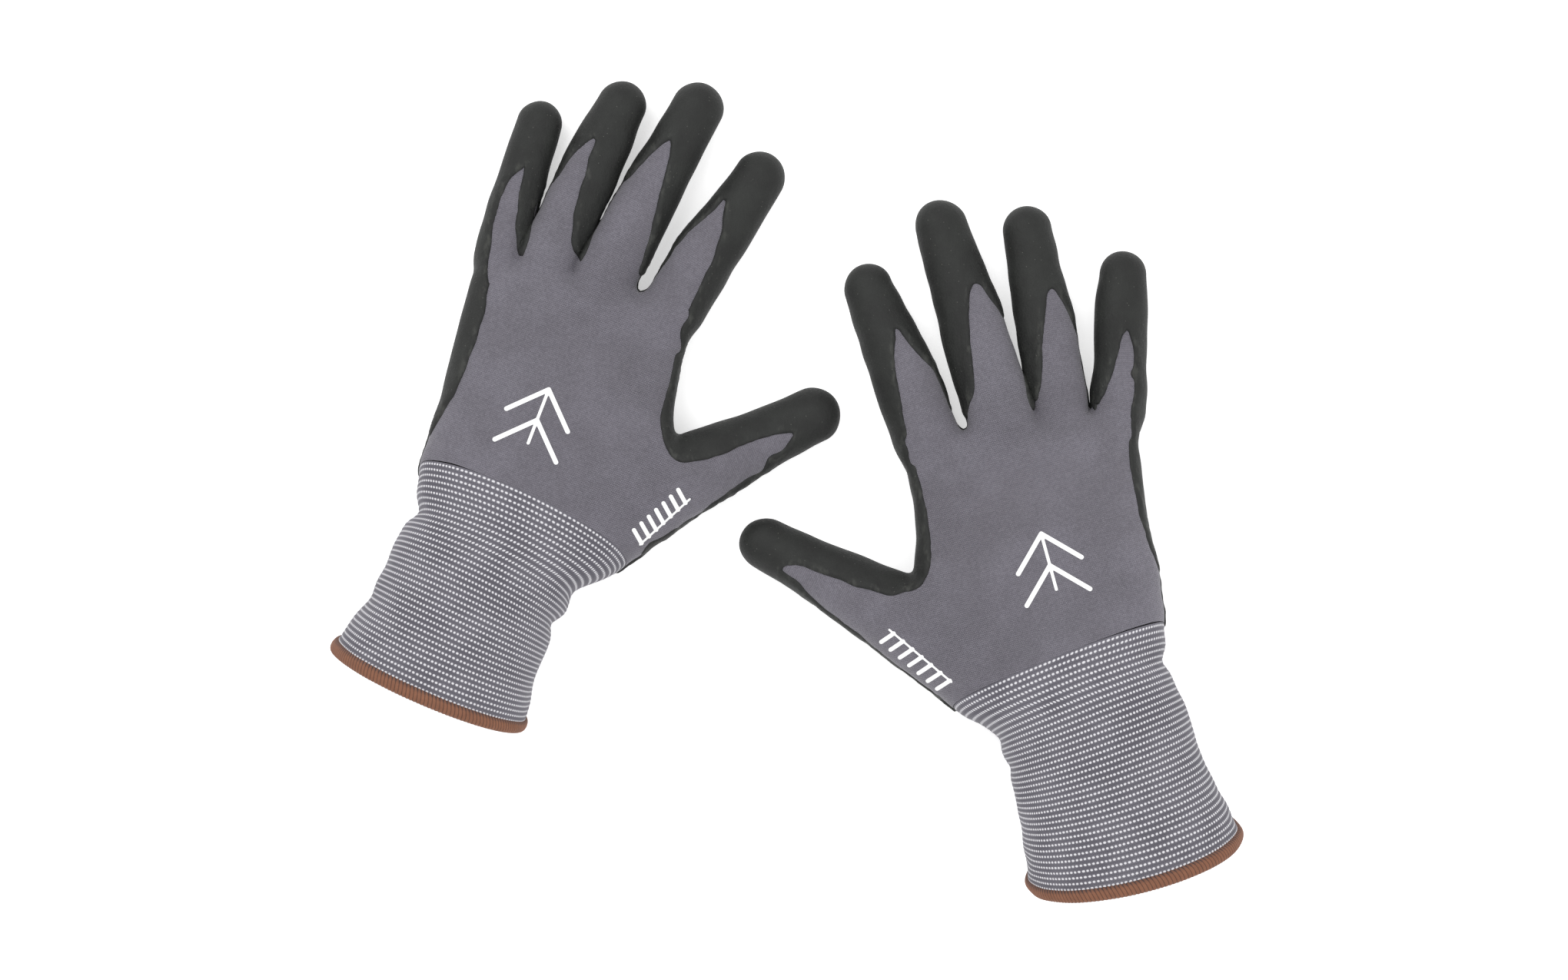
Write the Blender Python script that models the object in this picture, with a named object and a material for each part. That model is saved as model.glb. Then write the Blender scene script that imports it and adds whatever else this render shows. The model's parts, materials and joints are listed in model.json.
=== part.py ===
"""A pair of foam-dipped knit work gloves, lying palm down side by side.

Frame: +X towards the right-hand glove, +Y towards the fingertips, +Z up from the table.
Lengths are written in millimetres and turned into metres by MM where a mesh is made.
Each glove is a knitted liner inside a foam coating, with a ribbed cuff, an overlocked hem
and two prints. Liner and coating are cut where the glove folds, one node for each stretch.
"""
import math

import bmesh
import bpy
from mathutils import Matrix, Vector

MM = 0.001

# thicknesses
GAP = 0.3                # clearance between pieces that touch on the real glove
KNIT = 1.0               # wall of the knitted liner
FOAM = 1.0               # foam coating on the liner
SKIN = FOAM + GAP        # from the liner's outside to the coating's outside
RIB = 1.3                # wall of the ribbed cuff
HEM_LIP = 0.9            # how far the hem stands out from the cuff
HEM_LENGTH = 4.2
PRINT = 0.3              # thickness of a print
PRESS = 0.6              # how far a filled glove flattens where it lies on the table
BRANCH_LIFT = 0.17       # underside of a branch above the underside of the hand
OVERRUN = 3.0            # how far a hollow's cutter runs past an open end
WINDOW_OVERRUN = 10.0    # how far a bare window's cutter starts before its stretch
WINDOW_PAST = 1.0        # how far it runs past the end
REACH = 60.0             # how far a window's cutter reaches up

# facets round a tube, a multiple of two so that two corners lie level with the fold's axis
FINGER_SIDES = 10
HAND_SIDES = 20

# folds, in degrees, as a hand in the glove bends it
WRIST_FOLD = 30.0        # each way
KNUCKLE_FOLD = 70.0
MID_FOLD = 90.0
TIP_FOLD = 60.0
THUMB_FOLD = 35.0
THUMB_TIP_FOLD = 60.0
FOLD_SPARE = 2.0         # extra opening of each fold's notch

# where a finger folds, as a share of its length from the crotch to the end
MID_SHARE = 0.33
TIP_SHARE = 0.65
THUMB_TIP_SHARE = 0.50

HAND_SQUARE = 2.8        # 2 is an ellipse, and more is nearer a rounded box
JUNCTION_SQUARE = 2.5
CUFF_SQUARE = 2.2
FINGER_FLATNESS = 0.86   # a finger's thickness over its width
STUB_BACK = 3.5          # how far a finger's tube runs back into the hand
BARE_HALF = 0.80         # half the bare strip on a finger's back, as a share of its half width
BARE_RISE = 1.5          # the coating's edge above a finger's middle height
THUMB_BARE_HALF = 0.97
HAND_BARE_HALF = 0.86
HAND_BARE_RISE = 4.0

# prints
MARK_DEPTH = 11.0        # height of a chevron
MARK_HALF = 12.0
MARK_STROKE = 3.0
BARS = 6
BAR_HEIGHT = 6.5
BAR_WIDTH = 2.0
BAR_SLANT = 1.5
RULE = 1.0

WHITE = (0.88, 0.88, 0.90)
BLACK = (0.030, 0.031, 0.030)
GREY = (0.205, 0.195, 0.222)
RIB_GREY = (0.30, 0.29, 0.33)
BROWN = (0.130, 0.062, 0.036)

# Each glove: headings in degrees clockwise from +Y. A hand section is x, y, half width and
# half height, from the hem to the crotches. A finger is x, y and half width of its outside,
# from the crotch to the centre of its round end. The thumb's back leans outwards.
GLOVES = {
    "left": {
        "hand_heading": 20.0,
        "cuff_heading": 25.0,
        "hem": (-137.0, -75.5, 40.0, 21.5),
        "cuff_middle": (-128.5, -57.5, 36.0, 20.5),
        "wrist": (-118.5, -36.0, 35.2, 19.5),
        "heel": (-108.0, -22.0, 38.5, 18.5),
        "junction": (-98.5, -6.5, 43.0, 17.5),
        "palm": [(-92.0, 12.0, 45.0, 16.5), (-86.5, 31.0, 45.5, 15.5)],
        "knuckles": (-80.5, 65.0, 43.5, 13.5),
        "crotches": (-75.5, 79.5, 43.0, 11.5),
        "fingers": {
            "little": [(-110.3, 89.6, 9.4), (-103.8, 112.0, 8.9), (-94.9, 141.5, 8.3)],
            "ring": [(-89.9, 88.7, 11.5), (-82.6, 108.0, 11.2), (-74.4, 124.9, 11.0),
                     (-62.9, 148.0, 9.5)],
            "middle": [(-66.1, 83.0, 13.0), (-58.0, 103.0, 12.4), (-46.0, 124.9, 11.3),
                       (-33.5, 147.1, 9.8)],
            "index": [(-42.1, 71.5, 12.4), (-27.0, 96.0, 11.6), (-17.8, 109.0, 10.6),
                      (-9.5, 121.3, 9.2)],
        },
        "thumb": [(-62.0, -9.0, 19.5), (-32.5, 8.0, 15.2), (-13.1, 17.5, 12.2),
                  (12.2, 27.9, 9.8)],
        "thumb_lean": 25.0,
        "back_print": (-96.3, 25.5),
        "side_print": [(-52.5, -17.0), (-36.0, 2.0)],
    },
    "right": {
        "hand_heading": -14.0,
        "cuff_heading": -18.8,
        "hem": (133.5, -139.0, 40.8, 21.5),
        "cuff_middle": (127.0, -118.5, 37.2, 20.5),
        "wrist": (119.5, -92.5, 35.8, 19.5),
        "heel": (113.5, -76.0, 39.0, 18.5),
        "junction": (108.5, -60.5, 43.5, 17.5),
        "palm": [(103.5, -42.0, 45.5, 16.5), (99.0, -23.5, 45.5, 15.5)],
        "knuckles": (92.8, 8.5, 45.0, 13.5),
        "crotches": (90.3, 22.5, 45.5, 11.5),
        "fingers": {
            "index": [(54.5, 22.8, 13.2), (44.8, 48.3, 12.4), (36.3, 68.2, 10.8),
                      (32.9, 77.4, 9.5)],
            "middle": [(81.6, 29.4, 13.4), (77.0, 50.0, 13.0), (70.1, 72.3, 12.2),
                       (60.2, 101.7, 10.1)],
            "ring": [(106.5, 32.0, 11.9), (102.4, 56.0, 11.8), (98.6, 78.0, 11.0),
                     (93.1, 100.0, 9.2)],
            "little": [(128.7, 31.1, 10.8), (130.2, 56.0, 10.4), (130.5, 82.7, 8.9)],
        },
        "thumb": [(62.0, -58.2, 19.5), (31.5, -41.5, 14.6), (16.3, -33.2, 12.0),
                  (-7.7, -20.8, 9.8)],
        "thumb_lean": -25.0,
        "back_print": (104.7, -30.0),
        "side_print": [(56.5, -69.5), (37.5, -53.0)],
    },
}

CENTRE = Vector((0.55, -2.53))     # shift that puts the pair's middle over the origin


def rounded(share, square):
    """Coordinate of a superellipse: an ellipse at 2, nearer a rounded box above it."""
    if abs(share) < 1e-9:
        return 0.0
    return math.copysign(abs(share) ** (2 / square), share)


class Section:
    """A cross-section of a tube: its middle, its directions and its half sizes in mm."""

    def __init__(self, middle, along, up, half_width, half_height, lift=0.0, square=2.0):
        self.middle = middle
        self.along = along.normalized()
        self.across = self.along.cross(up).normalized()
        self.up = self.across.cross(self.along)
        self.half_width = half_width
        self.half_height = half_height
        self.lift = lift
        self.square = square

    def lifted(self):
        """The same section with its flat underside a little higher than the hand's."""
        return Section(self.middle, self.along, self.up, self.half_width, self.half_height,
                       BRANCH_LIFT)

    def ring(self, grow, sides, shift=None):
        """Corners of the section grown by grow, moved along the tube by shift(height)."""
        low = max(0.0, SKIN - grow) + self.lift
        corners = []
        for i in range(sides):
            turn = 2 * math.pi * i / sides
            x = (self.half_width - SKIN + grow) * rounded(math.cos(turn), self.square)
            y = (self.half_height - SKIN + grow) * rounded(math.sin(turn), self.square)
            corner = self.middle + x * self.across + y * self.up
            if corner.z < low:
                corner += self.up * ((low - corner.z) / self.up.z)
            if shift is not None:
                height = (corner - self.middle).dot(self.up)
                corner += self.along * shift(height)
            corners.append(corner)
        return corners


def heading(degrees):
    """Level direction at an angle clockwise from +Y."""
    return Vector((math.sin(math.radians(degrees)), math.cos(math.radians(degrees)), 0.0))


def palm_notch(fold, side):
    """End of a stretch that folds towards the palm: square above the axis, slanted below."""
    slope = math.tan(math.radians(fold / 2 + FOLD_SPARE))
    return lambda height: side * (GAP / 2 + max(0.0, -height) * slope)


def both_notch(fold, side):
    """End of a stretch that folds both ways: slanted above and below the axis."""
    slope = math.tan(math.radians(fold / 2 + FOLD_SPARE))
    return lambda height: side * (GAP / 2 + abs(height) * slope)


def square_end(side, back=GAP / 2):
    return lambda height: side * back


def moved(shift, distance):
    return lambda height: shift(height) + distance


def add_ring(bm, corners):
    return [bm.verts.new(MM * corner) for corner in corners]


def bridge(bm, first, second):
    """Side faces between two rings, facing out when the second lies further along."""
    for i in range(len(first)):
        j = (i + 1) % len(first)
        bm.faces.new((first[i], second[i], second[j], first[j]))


def cap(bm, ring, far):
    """Two flat faces that meet on the fold's axis."""
    half = len(ring) // 2
    for part in (ring[:half + 1], ring[half:] + ring[:1]):
        bm.faces.new(part[::-1] if far else part)


def end_ring(bm, first, second, far):
    """Annular face between an outer and an inner ring."""
    for i in range(len(first)):
        j = (i + 1) % len(first)
        quad = (first[i], first[j], second[j], second[i])
        bm.faces.new(quad[::-1] if far else quad)


def finish_mesh(bm, name):
    bmesh.ops.triangulate(bm, faces=bm.faces, quad_method="FIXED")
    bmesh.ops.recalc_face_normals(bm, faces=bm.faces)
    mesh = bpy.data.meshes.new(name)
    bm.to_mesh(mesh)
    bm.free()
    return bpy.data.objects.new(name, mesh)


def tube_solid(name, sections, grow, sides, start, end, before=0.0, after=0.0):
    """Closed solid tube through the sections, with bent ends and straight runs past them."""
    bm = bmesh.new()
    last = len(sections) - 1
    corners = []
    for i, section in enumerate(sections):
        shift = start if i == 0 else end if i == last else None
        corners.append(section.ring(grow, sides, shift))
    if before:
        corners.insert(0, [corner - sections[0].along * before for corner in corners[0]])
    if after:
        corners.append([corner + sections[-1].along * after for corner in corners[-1]])
    rings = [add_ring(bm, ring) for ring in corners]
    for first, second in zip(rings, rings[1:]):
        bridge(bm, first, second)
    cap(bm, rings[0], False)
    cap(bm, rings[-1], True)
    return finish_mesh(bm, name)


def tube_wall(name, sections, outer, inner, sides, start, end):
    """Open-ended tube with a wall between two growths of the same sections."""
    bm = bmesh.new()
    last = len(sections) - 1
    walls = []
    for grow in (outer, inner):
        rings = []
        for i, section in enumerate(sections):
            shift = start if i == 0 else end if i == last else None
            rings.append(add_ring(bm, section.ring(grow, sides, shift)))
        for first, second in zip(rings, rings[1:]):
            bridge(bm, first, second)
        walls.append(rings)
    end_ring(bm, walls[0][0], walls[1][0], False)
    end_ring(bm, walls[0][-1], walls[1][-1], True)
    return finish_mesh(bm, name)


def thimble(name, sections, outer, inner, sides, start):
    """Fingertip: a tube with a round closed end at its last section."""
    bm = bmesh.new()
    tip = sections[-1]
    starts = []
    for grow in (outer, inner):
        rings = []
        for i, section in enumerate(sections):
            rings.append(add_ring(bm, section.ring(grow, sides, start if i == 0 else None)))
        radius = tip.half_width - SKIN + grow
        for turn in (math.radians(35), math.radians(65)):
            dome = Section(
                tip.middle + tip.along * radius * math.sin(turn), tip.along, tip.up,
                radius * math.cos(turn) + SKIN - grow,
                (tip.half_height - SKIN + grow) * math.cos(turn) + SKIN - grow)
            rings.append(add_ring(bm, dome.ring(grow, sides)))
        for first, second in zip(rings, rings[1:]):
            bridge(bm, first, second)
        pole = bm.verts.new(MM * (tip.middle + tip.along * radius))
        for i in range(sides):
            bm.faces.new((rings[-1][i], pole, rings[-1][(i + 1) % sides]))
        starts.append(rings[0])
    end_ring(bm, starts[0], starts[1], False)
    return finish_mesh(bm, name)


def prism(name, outline, low, high, direction=Vector((0.0, 0.0, 1.0))):
    """Cutter: a flat outline in mm pushed from low to high along direction."""
    bm = bmesh.new()
    face = bm.faces.new([bm.verts.new(MM * (point + low * direction)) for point in outline])
    pushed = bmesh.ops.extrude_face_region(bm, geom=[face])
    top = [v for v in pushed["geom"] if isinstance(v, bmesh.types.BMVert)]
    bmesh.ops.translate(bm, vec=MM * (high - low) * direction, verts=top)
    return finish_mesh(bm, name)


def material(name, colour, roughness):
    made = bpy.data.materials.new(name)
    made.use_nodes = True
    shader = made.node_tree.nodes["Principled BSDF"]
    shader.inputs["Base Color"].default_value = (*colour, 1.0)
    shader.inputs["Roughness"].default_value = roughness
    shader.inputs["Metallic"].default_value = 0.0
    made.diffuse_color = (*colour, 1.0)
    return made


def place(obj, finish, joint, parts):
    """Put a finished piece in the parts collection, under its joint's empty."""
    colour, roughness = finish
    parts.objects.link(obj)
    obj.data.materials.clear()
    obj.data.materials.append(material(obj.name, colour, roughness))
    obj.parent = joint
    obj.matrix_parent_inverse = joint.matrix_world.inverted()
    return obj


def combine(obj, operation, shapes, cutters, solver="EXACT"):
    """One Boolean by several meshes, which stay hidden in a collection of their own."""
    group = bpy.data.collections.new(f"{obj.name}_{operation.lower()}")
    cutters.children.link(group)
    for shape in shapes:
        group.objects.link(shape)
        shape.hide_render = True
        shape.display_type = "WIRE"
    boolean = obj.modifiers.new(group.name, "BOOLEAN")
    boolean.operation = operation
    boolean.solver = solver
    boolean.operand_type = "COLLECTION"
    boolean.collection = group
    return obj


def joint_empty(name, point, axis, parent, parts):
    """Empty on a fold's axis, with its local X along the axis."""
    empty = bpy.data.objects.new(name, None)
    empty.empty_display_size = 0.01
    parts.objects.link(empty)
    turn = Vector((1.0, 0.0, 0.0)).rotation_difference(axis).to_matrix().to_4x4()
    placed = Matrix.Translation(MM * point) @ turn
    empty.parent = parent
    empty.matrix_world = placed
    bpy.context.view_layer.update()
    return empty


def flat_section(values, direction, square):
    """Section of the hand or cuff, lying on the table."""
    x, y, half_width, half_height = values
    middle = Vector((x + CENTRE.x, y + CENTRE.y, half_height - PRESS))
    return Section(middle, direction, Vector((0.0, 0.0, 1.0)), half_width, half_height,
                   square=square)


def walk(points, distance):
    """Place, half width and direction at a distance along a finger's middle line."""
    for (x0, y0, w0), (x1, y1, w1) in zip(points, points[1:]):
        step = math.hypot(x1 - x0, y1 - y0)
        direction = Vector((x1 - x0, y1 - y0, 0.0)) / step
        if distance <= step or (x1, y1, w1) == points[-1]:
            share = distance / step
            place_at = Vector((x0, y0, 0.0)) + direction * distance
            return place_at, w0 + (w1 - w0) * share, direction
        distance -= step


def finger_length(points):
    """From the first point to the very end of the round tip."""
    runs = zip(points, points[1:])
    return sum(math.hypot(b[0] - a[0], b[1] - a[1]) for a, b in runs) + points[-1][2]


def finger_section(points, distance, direction=None, lean=0.0):
    """Section of a finger at a distance from its first point."""
    at, half_width, run = walk(points, distance)
    direction = direction or run
    half_height = half_width * FINGER_FLATNESS
    at = Vector((at.x + CENTRE.x, at.y + CENTRE.y, half_height - PRESS))
    side = direction.cross(Vector((0.0, 0.0, 1.0)))
    up = Vector((0.0, 0.0, 1.0)) * math.cos(math.radians(lean))
    up += side * math.sin(math.radians(lean))
    return Section(at, direction, up, half_width, half_height)


def joined_direction(points, distance, reach=6.0):
    """Direction of the finger at a fold, averaged over a short stretch."""
    before = walk(points, max(0.0, distance - reach))[0]
    after = walk(points, distance + reach)[0]
    return (after - before).normalized()


def bare_window(name, near, far, half, rise):
    """Cutter of the bare strip on a finger's back, a wedge that ends in a point."""
    begin = near.middle - near.along * OVERRUN
    end = far.middle - far.along * OVERRUN
    side = near.across * near.half_width * half
    return prism(name, [begin - side, begin + side, end], rise, REACH, near.up)


def build_finger(side, name, points, root_joint, parts, cutters):
    """Middle and tip stretches of one finger, each a liner and a coating."""
    length = finger_length(points)
    mid_at = length * MID_SHARE
    tip_at = length * TIP_SHARE
    mid = finger_section(points, mid_at, joined_direction(points, mid_at))
    tip = finger_section(points, tip_at, joined_direction(points, tip_at))
    last = finger_section(points, length - points[-1][2], tip.along)
    mid_joint = joint_empty(f"{side}_{name}_mid_fold", mid.middle, -mid.across, root_joint,
                            parts)
    tip_joint = joint_empty(f"{side}_{name}_tip_fold", tip.middle, -tip.across, mid_joint,
                            parts)
    near = palm_notch(MID_FOLD, 1)
    far = palm_notch(TIP_FOLD, -1)
    place(tube_wall(f"{side}_{name}_mid_liner", [mid, tip], 0.0, -KNIT, FINGER_SIDES,
                    near, far), (GREY, 0.85), mid_joint, parts)
    coat = tube_wall(f"{side}_{name}_mid_coating", [mid, tip], SKIN, GAP, FINGER_SIDES,
                     near, far)
    window = bare_window(f"cut_{side}_{name}_bare", mid, tip, BARE_HALF, BARE_RISE)
    place(combine(coat, "DIFFERENCE", [window], cutters), (BLACK, 0.6), mid_joint, parts)
    near = palm_notch(TIP_FOLD, 1)
    place(thimble(f"{side}_{name}_tip_liner", [tip, last], 0.0, -KNIT, FINGER_SIDES, near),
          (GREY, 0.85), tip_joint, parts)
    place(thimble(f"{side}_{name}_tip_coating", [tip, last], SKIN, GAP, FINGER_SIDES, near),
          (BLACK, 0.6), tip_joint, parts)
    return mid


def thumb_sections(glove):
    """The thumb's root inside the hand, its base fold, its middle fold and its round end."""
    points = glove["thumb"]
    lean = glove["thumb_lean"]
    root_run = math.hypot(points[1][0] - points[0][0], points[1][1] - points[0][1])
    outside = points[1:]
    length = finger_length(outside)
    direction = joined_direction(points, root_run)
    root = finger_section(points, 0.0, direction, lean)
    base = finger_section(outside, 0.0, direction, lean)
    tip_at = length * THUMB_TIP_SHARE
    tip = finger_section(outside, tip_at, joined_direction(outside, tip_at), lean)
    last = finger_section(outside, length - outside[-1][2], tip.along, lean)
    return root, base, tip, last


def build_thumb(side, glove, hand_joint, parts, cutters):
    """Base and tip stretches of the thumb."""
    root, base, tip, last = thumb_sections(glove)
    base_joint = joint_empty(f"{side}_thumb_base_fold", base.middle, -base.across,
                             hand_joint, parts)
    tip_joint = joint_empty(f"{side}_thumb_tip_fold", tip.middle, -tip.across, base_joint,
                            parts)
    near = palm_notch(THUMB_FOLD, 1)
    far = palm_notch(THUMB_TIP_FOLD, -1)
    place(tube_wall(f"{side}_thumb_base_liner", [base, tip], 0.0, -KNIT, FINGER_SIDES,
                    near, far), (GREY, 0.85), base_joint, parts)
    coat = tube_wall(f"{side}_thumb_base_coating", [base, tip], SKIN, GAP, FINGER_SIDES,
                     near, far)
    window = bare_window(f"cut_{side}_thumb_bare", base, tip, BARE_HALF, BARE_RISE)
    place(combine(coat, "DIFFERENCE", [window], cutters), (BLACK, 0.6), base_joint, parts)
    near = palm_notch(THUMB_TIP_FOLD, 1)
    place(thimble(f"{side}_thumb_tip_liner", [tip, last], 0.0, -KNIT, FINGER_SIDES, near),
          (GREY, 0.85), tip_joint, parts)
    place(thimble(f"{side}_thumb_tip_coating", [tip, last], SKIN, GAP, FINGER_SIDES, near),
          (BLACK, 0.6), tip_joint, parts)
    return root, base


def finger_stub(points, crotches, mid):
    """Sections of a finger's tube inside the knuckle stretch, from the hand to its fold."""
    first = finger_section(points, 0.0, joined_direction(points, 0.0))
    ahead = (first.middle - crotches.middle).dot(crotches.along) + STUB_BACK
    start = first.middle - first.along * ahead / first.along.dot(crotches.along)
    root = Section(start, crotches.along, first.up, first.half_width, first.half_height)
    return [root.lifted(), mid.lifted()]


def branched(name, trunk, branches, outer, inner, start, end, stop, trunk_closed, windows,
             cutters):
    """Hollow trunk with hollow branches that open into it, between two growths."""
    body_end = moved(end, outer) if trunk_closed else end
    hollow_end = moved(end, inner) if trunk_closed else end
    body = tube_solid(name, trunk, outer, HAND_SIDES, start, body_end)
    arms = []
    hollows = [tube_solid(f"cut_{name}_hollow", trunk, inner, HAND_SIDES, start, hollow_end,
                          OVERRUN, 0.0 if trunk_closed else OVERRUN)]
    for i, branch in enumerate(branches):
        arms.append(tube_solid(f"add_{name}_{i}", branch, outer, FINGER_SIDES,
                               square_end(1, -outer), stop))
        hollows.append(tube_solid(f"cut_{name}_bore_{i}", branch, inner, FINGER_SIDES,
                                  square_end(1, -inner), stop, 0.0, OVERRUN))
    # the exact solver leaves sealed slivers where these tubes nearly touch
    combine(body, "UNION", arms, cutters, "MANIFOLD")
    return combine(body, "DIFFERENCE", hollows + windows, cutters, "MANIFOLD")


def hand_window(name, first, last, half, rise, back=0.0):
    """Cutter of the bare back of the hand between two sections."""
    near = first.middle - first.along * back
    far = last.middle + last.along * WINDOW_PAST
    near_side = first.across * first.half_width * half
    far_side = last.across * last.half_width * half
    level = max(first.middle.z, last.middle.z) + rise
    corners = (near - near_side, near + near_side, far + far_side, far - far_side)
    return prism(name, [Vector((c.x, c.y, level)) for c in corners], 0.0, REACH)


def chevron_mark(centre, along):
    """Two nested chevrons on a spine, as flat outlines."""
    across = along.cross(Vector((0.0, 0.0, 1.0)))
    shapes = []
    for shift in (MARK_DEPTH / 2 + MARK_STROKE / 2, -MARK_DEPTH / 2 + MARK_STROKE / 2):
        point = centre + along * (shift + MARK_DEPTH / 2)
        foot = centre + along * (shift - MARK_DEPTH / 2)
        back = along * -MARK_STROKE
        left = foot - across * MARK_HALF
        right = foot + across * MARK_HALF
        shapes.append([left, point, right, right + back, point + back, left + back])
    spine = across * MARK_STROKE / 3
    top = centre + along * MARK_DEPTH
    bottom = centre - along * MARK_DEPTH / 2
    shapes.append([top - spine, top + spine, bottom + spine, bottom - spine])
    return shapes


def barred_strip(start, end):
    """A thin rule with a row of slanted bars on its left, as flat outlines."""
    along = (end - start).normalized()
    aside = Vector((0.0, 0.0, 1.0)).cross(along)
    length = (end - start).length
    low = aside * -BAR_HEIGHT / 2
    shapes = [[start + low, start + low + aside * RULE, end + low + aside * RULE, end + low]]
    pitch = (length - BAR_WIDTH - BAR_SLANT) / (BARS - 1)
    for i in range(BARS):
        foot = start + low + aside * RULE / 2 + along * pitch * i
        head = foot + aside * BAR_HEIGHT + along * BAR_SLANT
        shapes.append([foot, foot + along * BAR_WIDTH, head + along * BAR_WIDTH, head])
    return shapes


def build_print(side, name, sections, level, outlines, joint, parts, cutters):
    """A print: a thin skin on the liner, kept only inside the given outlines."""
    skin = tube_wall(f"{side}_{name}", sections, GAP + PRINT, GAP, HAND_SIDES,
                     square_end(1), square_end(-1))
    shapes = []
    for i, outline in enumerate(outlines):
        flat = [Vector((point.x + CENTRE.x, point.y + CENTRE.y, 0.0)) for point in outline]
        shapes.append(prism(f"keep_{side}_{name}_{i}", flat, level, REACH))
    stamp = shapes[0]
    combine(stamp, "UNION", shapes[1:], cutters)
    place(combine(skin, "INTERSECT", [stamp], cutters), (WHITE, 0.5), joint, parts)


def build_glove(side, glove, root, parts, cutters):
    """All the pieces of one glove, and the empties of its folds."""
    along = heading(glove["hand_heading"])
    cuff_along = heading(glove["cuff_heading"])
    heel_along = (along + cuff_along).normalized()
    wrist = flat_section(glove["wrist"], cuff_along, CUFF_SQUARE)
    knuckles = flat_section(glove["knuckles"], along, HAND_SQUARE)
    hand = joint_empty(f"{side}_hand", knuckles.middle, Vector((1.0, 0.0, 0.0)), root, parts)
    cuff_joint = joint_empty(f"{side}_wrist_fold", wrist.middle, -wrist.across, hand, parts)
    knuckle_joint = joint_empty(f"{side}_knuckle_fold", knuckles.middle, -knuckles.across,
                                hand, parts)

    hem = flat_section(glove["hem"], cuff_along, CUFF_SQUARE)
    edge = Section(hem.middle + hem.along * HEM_LENGTH, hem.along, hem.up,
                   hem.half_width - 0.6, hem.half_height - 0.2, square=CUFF_SQUARE)
    place(tube_wall(f"{side}_cuff_hem", [hem, edge], SKIN + HEM_LIP, SKIN - RIB, HAND_SIDES,
                    None, square_end(-1)), (BROWN, 0.9), cuff_joint, parts)
    lower = [edge, flat_section(glove["cuff_middle"], cuff_along, CUFF_SQUARE), wrist]
    place(tube_wall(f"{side}_cuff_lower", lower, SKIN, SKIN - RIB, HAND_SIDES,
                    square_end(1), both_notch(WRIST_FOLD, -1)), (RIB_GREY, 0.9),
          cuff_joint, parts)
    junction = flat_section(glove["junction"], along, JUNCTION_SQUARE)
    upper = [wrist, flat_section(glove["heel"], heel_along, CUFF_SQUARE), junction]
    place(tube_wall(f"{side}_cuff_upper", upper, SKIN, SKIN - RIB, HAND_SIDES,
                    both_notch(WRIST_FOLD, 1), square_end(-1)), (RIB_GREY, 0.9),
          hand, parts)

    palm = [junction] + [flat_section(values, along, HAND_SQUARE) for values in glove["palm"]]
    palm.append(knuckles)
    thumb_root, thumb_base = build_thumb(side, glove, hand, parts, cutters)
    thumb = [thumb_root.lifted(), thumb_base.lifted()]
    thumb_stop = palm_notch(THUMB_FOLD, -1)
    knuckle_stop = palm_notch(KNUCKLE_FOLD, -1)
    place(branched(f"{side}_hand_liner", palm, [thumb], 0.0, -KNIT, square_end(1),
                   knuckle_stop, thumb_stop, False, [], cutters), (GREY, 0.85), hand, parts)
    windows = [
        hand_window(f"cut_{side}_back_window", junction, knuckles, HAND_BARE_HALF,
                    HAND_BARE_RISE, WINDOW_OVERRUN),
        hand_window(f"cut_{side}_thumb_window", thumb_root, thumb_base, THUMB_BARE_HALF,
                    BARE_RISE, WINDOW_OVERRUN),
    ]
    place(branched(f"{side}_palm_coating", palm, [thumb], SKIN, GAP, square_end(1),
                   knuckle_stop, thumb_stop, False, windows, cutters), (BLACK, 0.6), hand,
          parts)

    block = [knuckles, flat_section(glove["crotches"], along, HAND_SQUARE)]
    stubs = []
    for name, points in glove["fingers"].items():
        mid = build_finger(side, name, points, knuckle_joint, parts, cutters)
        stubs.append(finger_stub(points, block[1], mid))
    stop = palm_notch(MID_FOLD, -1)
    start = palm_notch(KNUCKLE_FOLD, 1)
    place(branched(f"{side}_knuckle_liner", block, stubs, 0.0, -KNIT, start, square_end(-1),
                   stop, True, [], cutters), (GREY, 0.85), knuckle_joint, parts)
    windows = [hand_window(f"cut_{side}_knuckle_window", *block, HAND_BARE_HALF,
                           HAND_BARE_RISE, WINDOW_OVERRUN)]
    for i, stub in enumerate(stubs):
        windows.append(hand_window(f"cut_{side}_finger_window_{i}", *stub, BARE_HALF,
                                   BARE_RISE))
    place(branched(f"{side}_knuckle_coating", block, stubs, SKIN, GAP, start,
                   square_end(-1), stop, True, windows, cutters), (BLACK, 0.6),
          knuckle_joint, parts)

    mark = Vector((*glove["back_print"], 0.0))
    build_print(side, "back_print", palm, knuckles.middle.z, chevron_mark(mark, along),
                hand, parts, cutters)
    ends = [Vector((*point, 0.0)) for point in glove["side_print"]]
    build_print(side, "side_print", [thumb_root, thumb_base], thumb_base.middle.z,
                barred_strip(*ends), hand, parts, cutters)


def main():
    for obj in list(bpy.data.objects):
        bpy.data.objects.remove(obj, do_unlink=True)
    scene = bpy.context.scene
    parts = bpy.data.collections.new("work_gloves")
    cutters = bpy.data.collections.new("cutters")
    scene.collection.children.link(parts)
    scene.collection.children.link(cutters)
    root = bpy.data.objects.new("work_gloves_origin", None)
    parts.objects.link(root)
    for side, glove in GLOVES.items():
        build_glove(side, glove, root, parts, cutters)


main()
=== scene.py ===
"""A pair of knitted work gloves with foam-coated palms and finger tips, lying side by side.

Each glove is worked out in its own frame, in millimetres: the origin on the floor under the wrist
fold, +Y towards the knuckle fold, +X to the right and +Z up. Its outer surface is one field, which
the knitted liner and the foam coating both follow.
"""

import json
import math

import bpy
import numpy as np
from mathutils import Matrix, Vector
from mathutils.bvhtree import BVHTree


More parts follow.
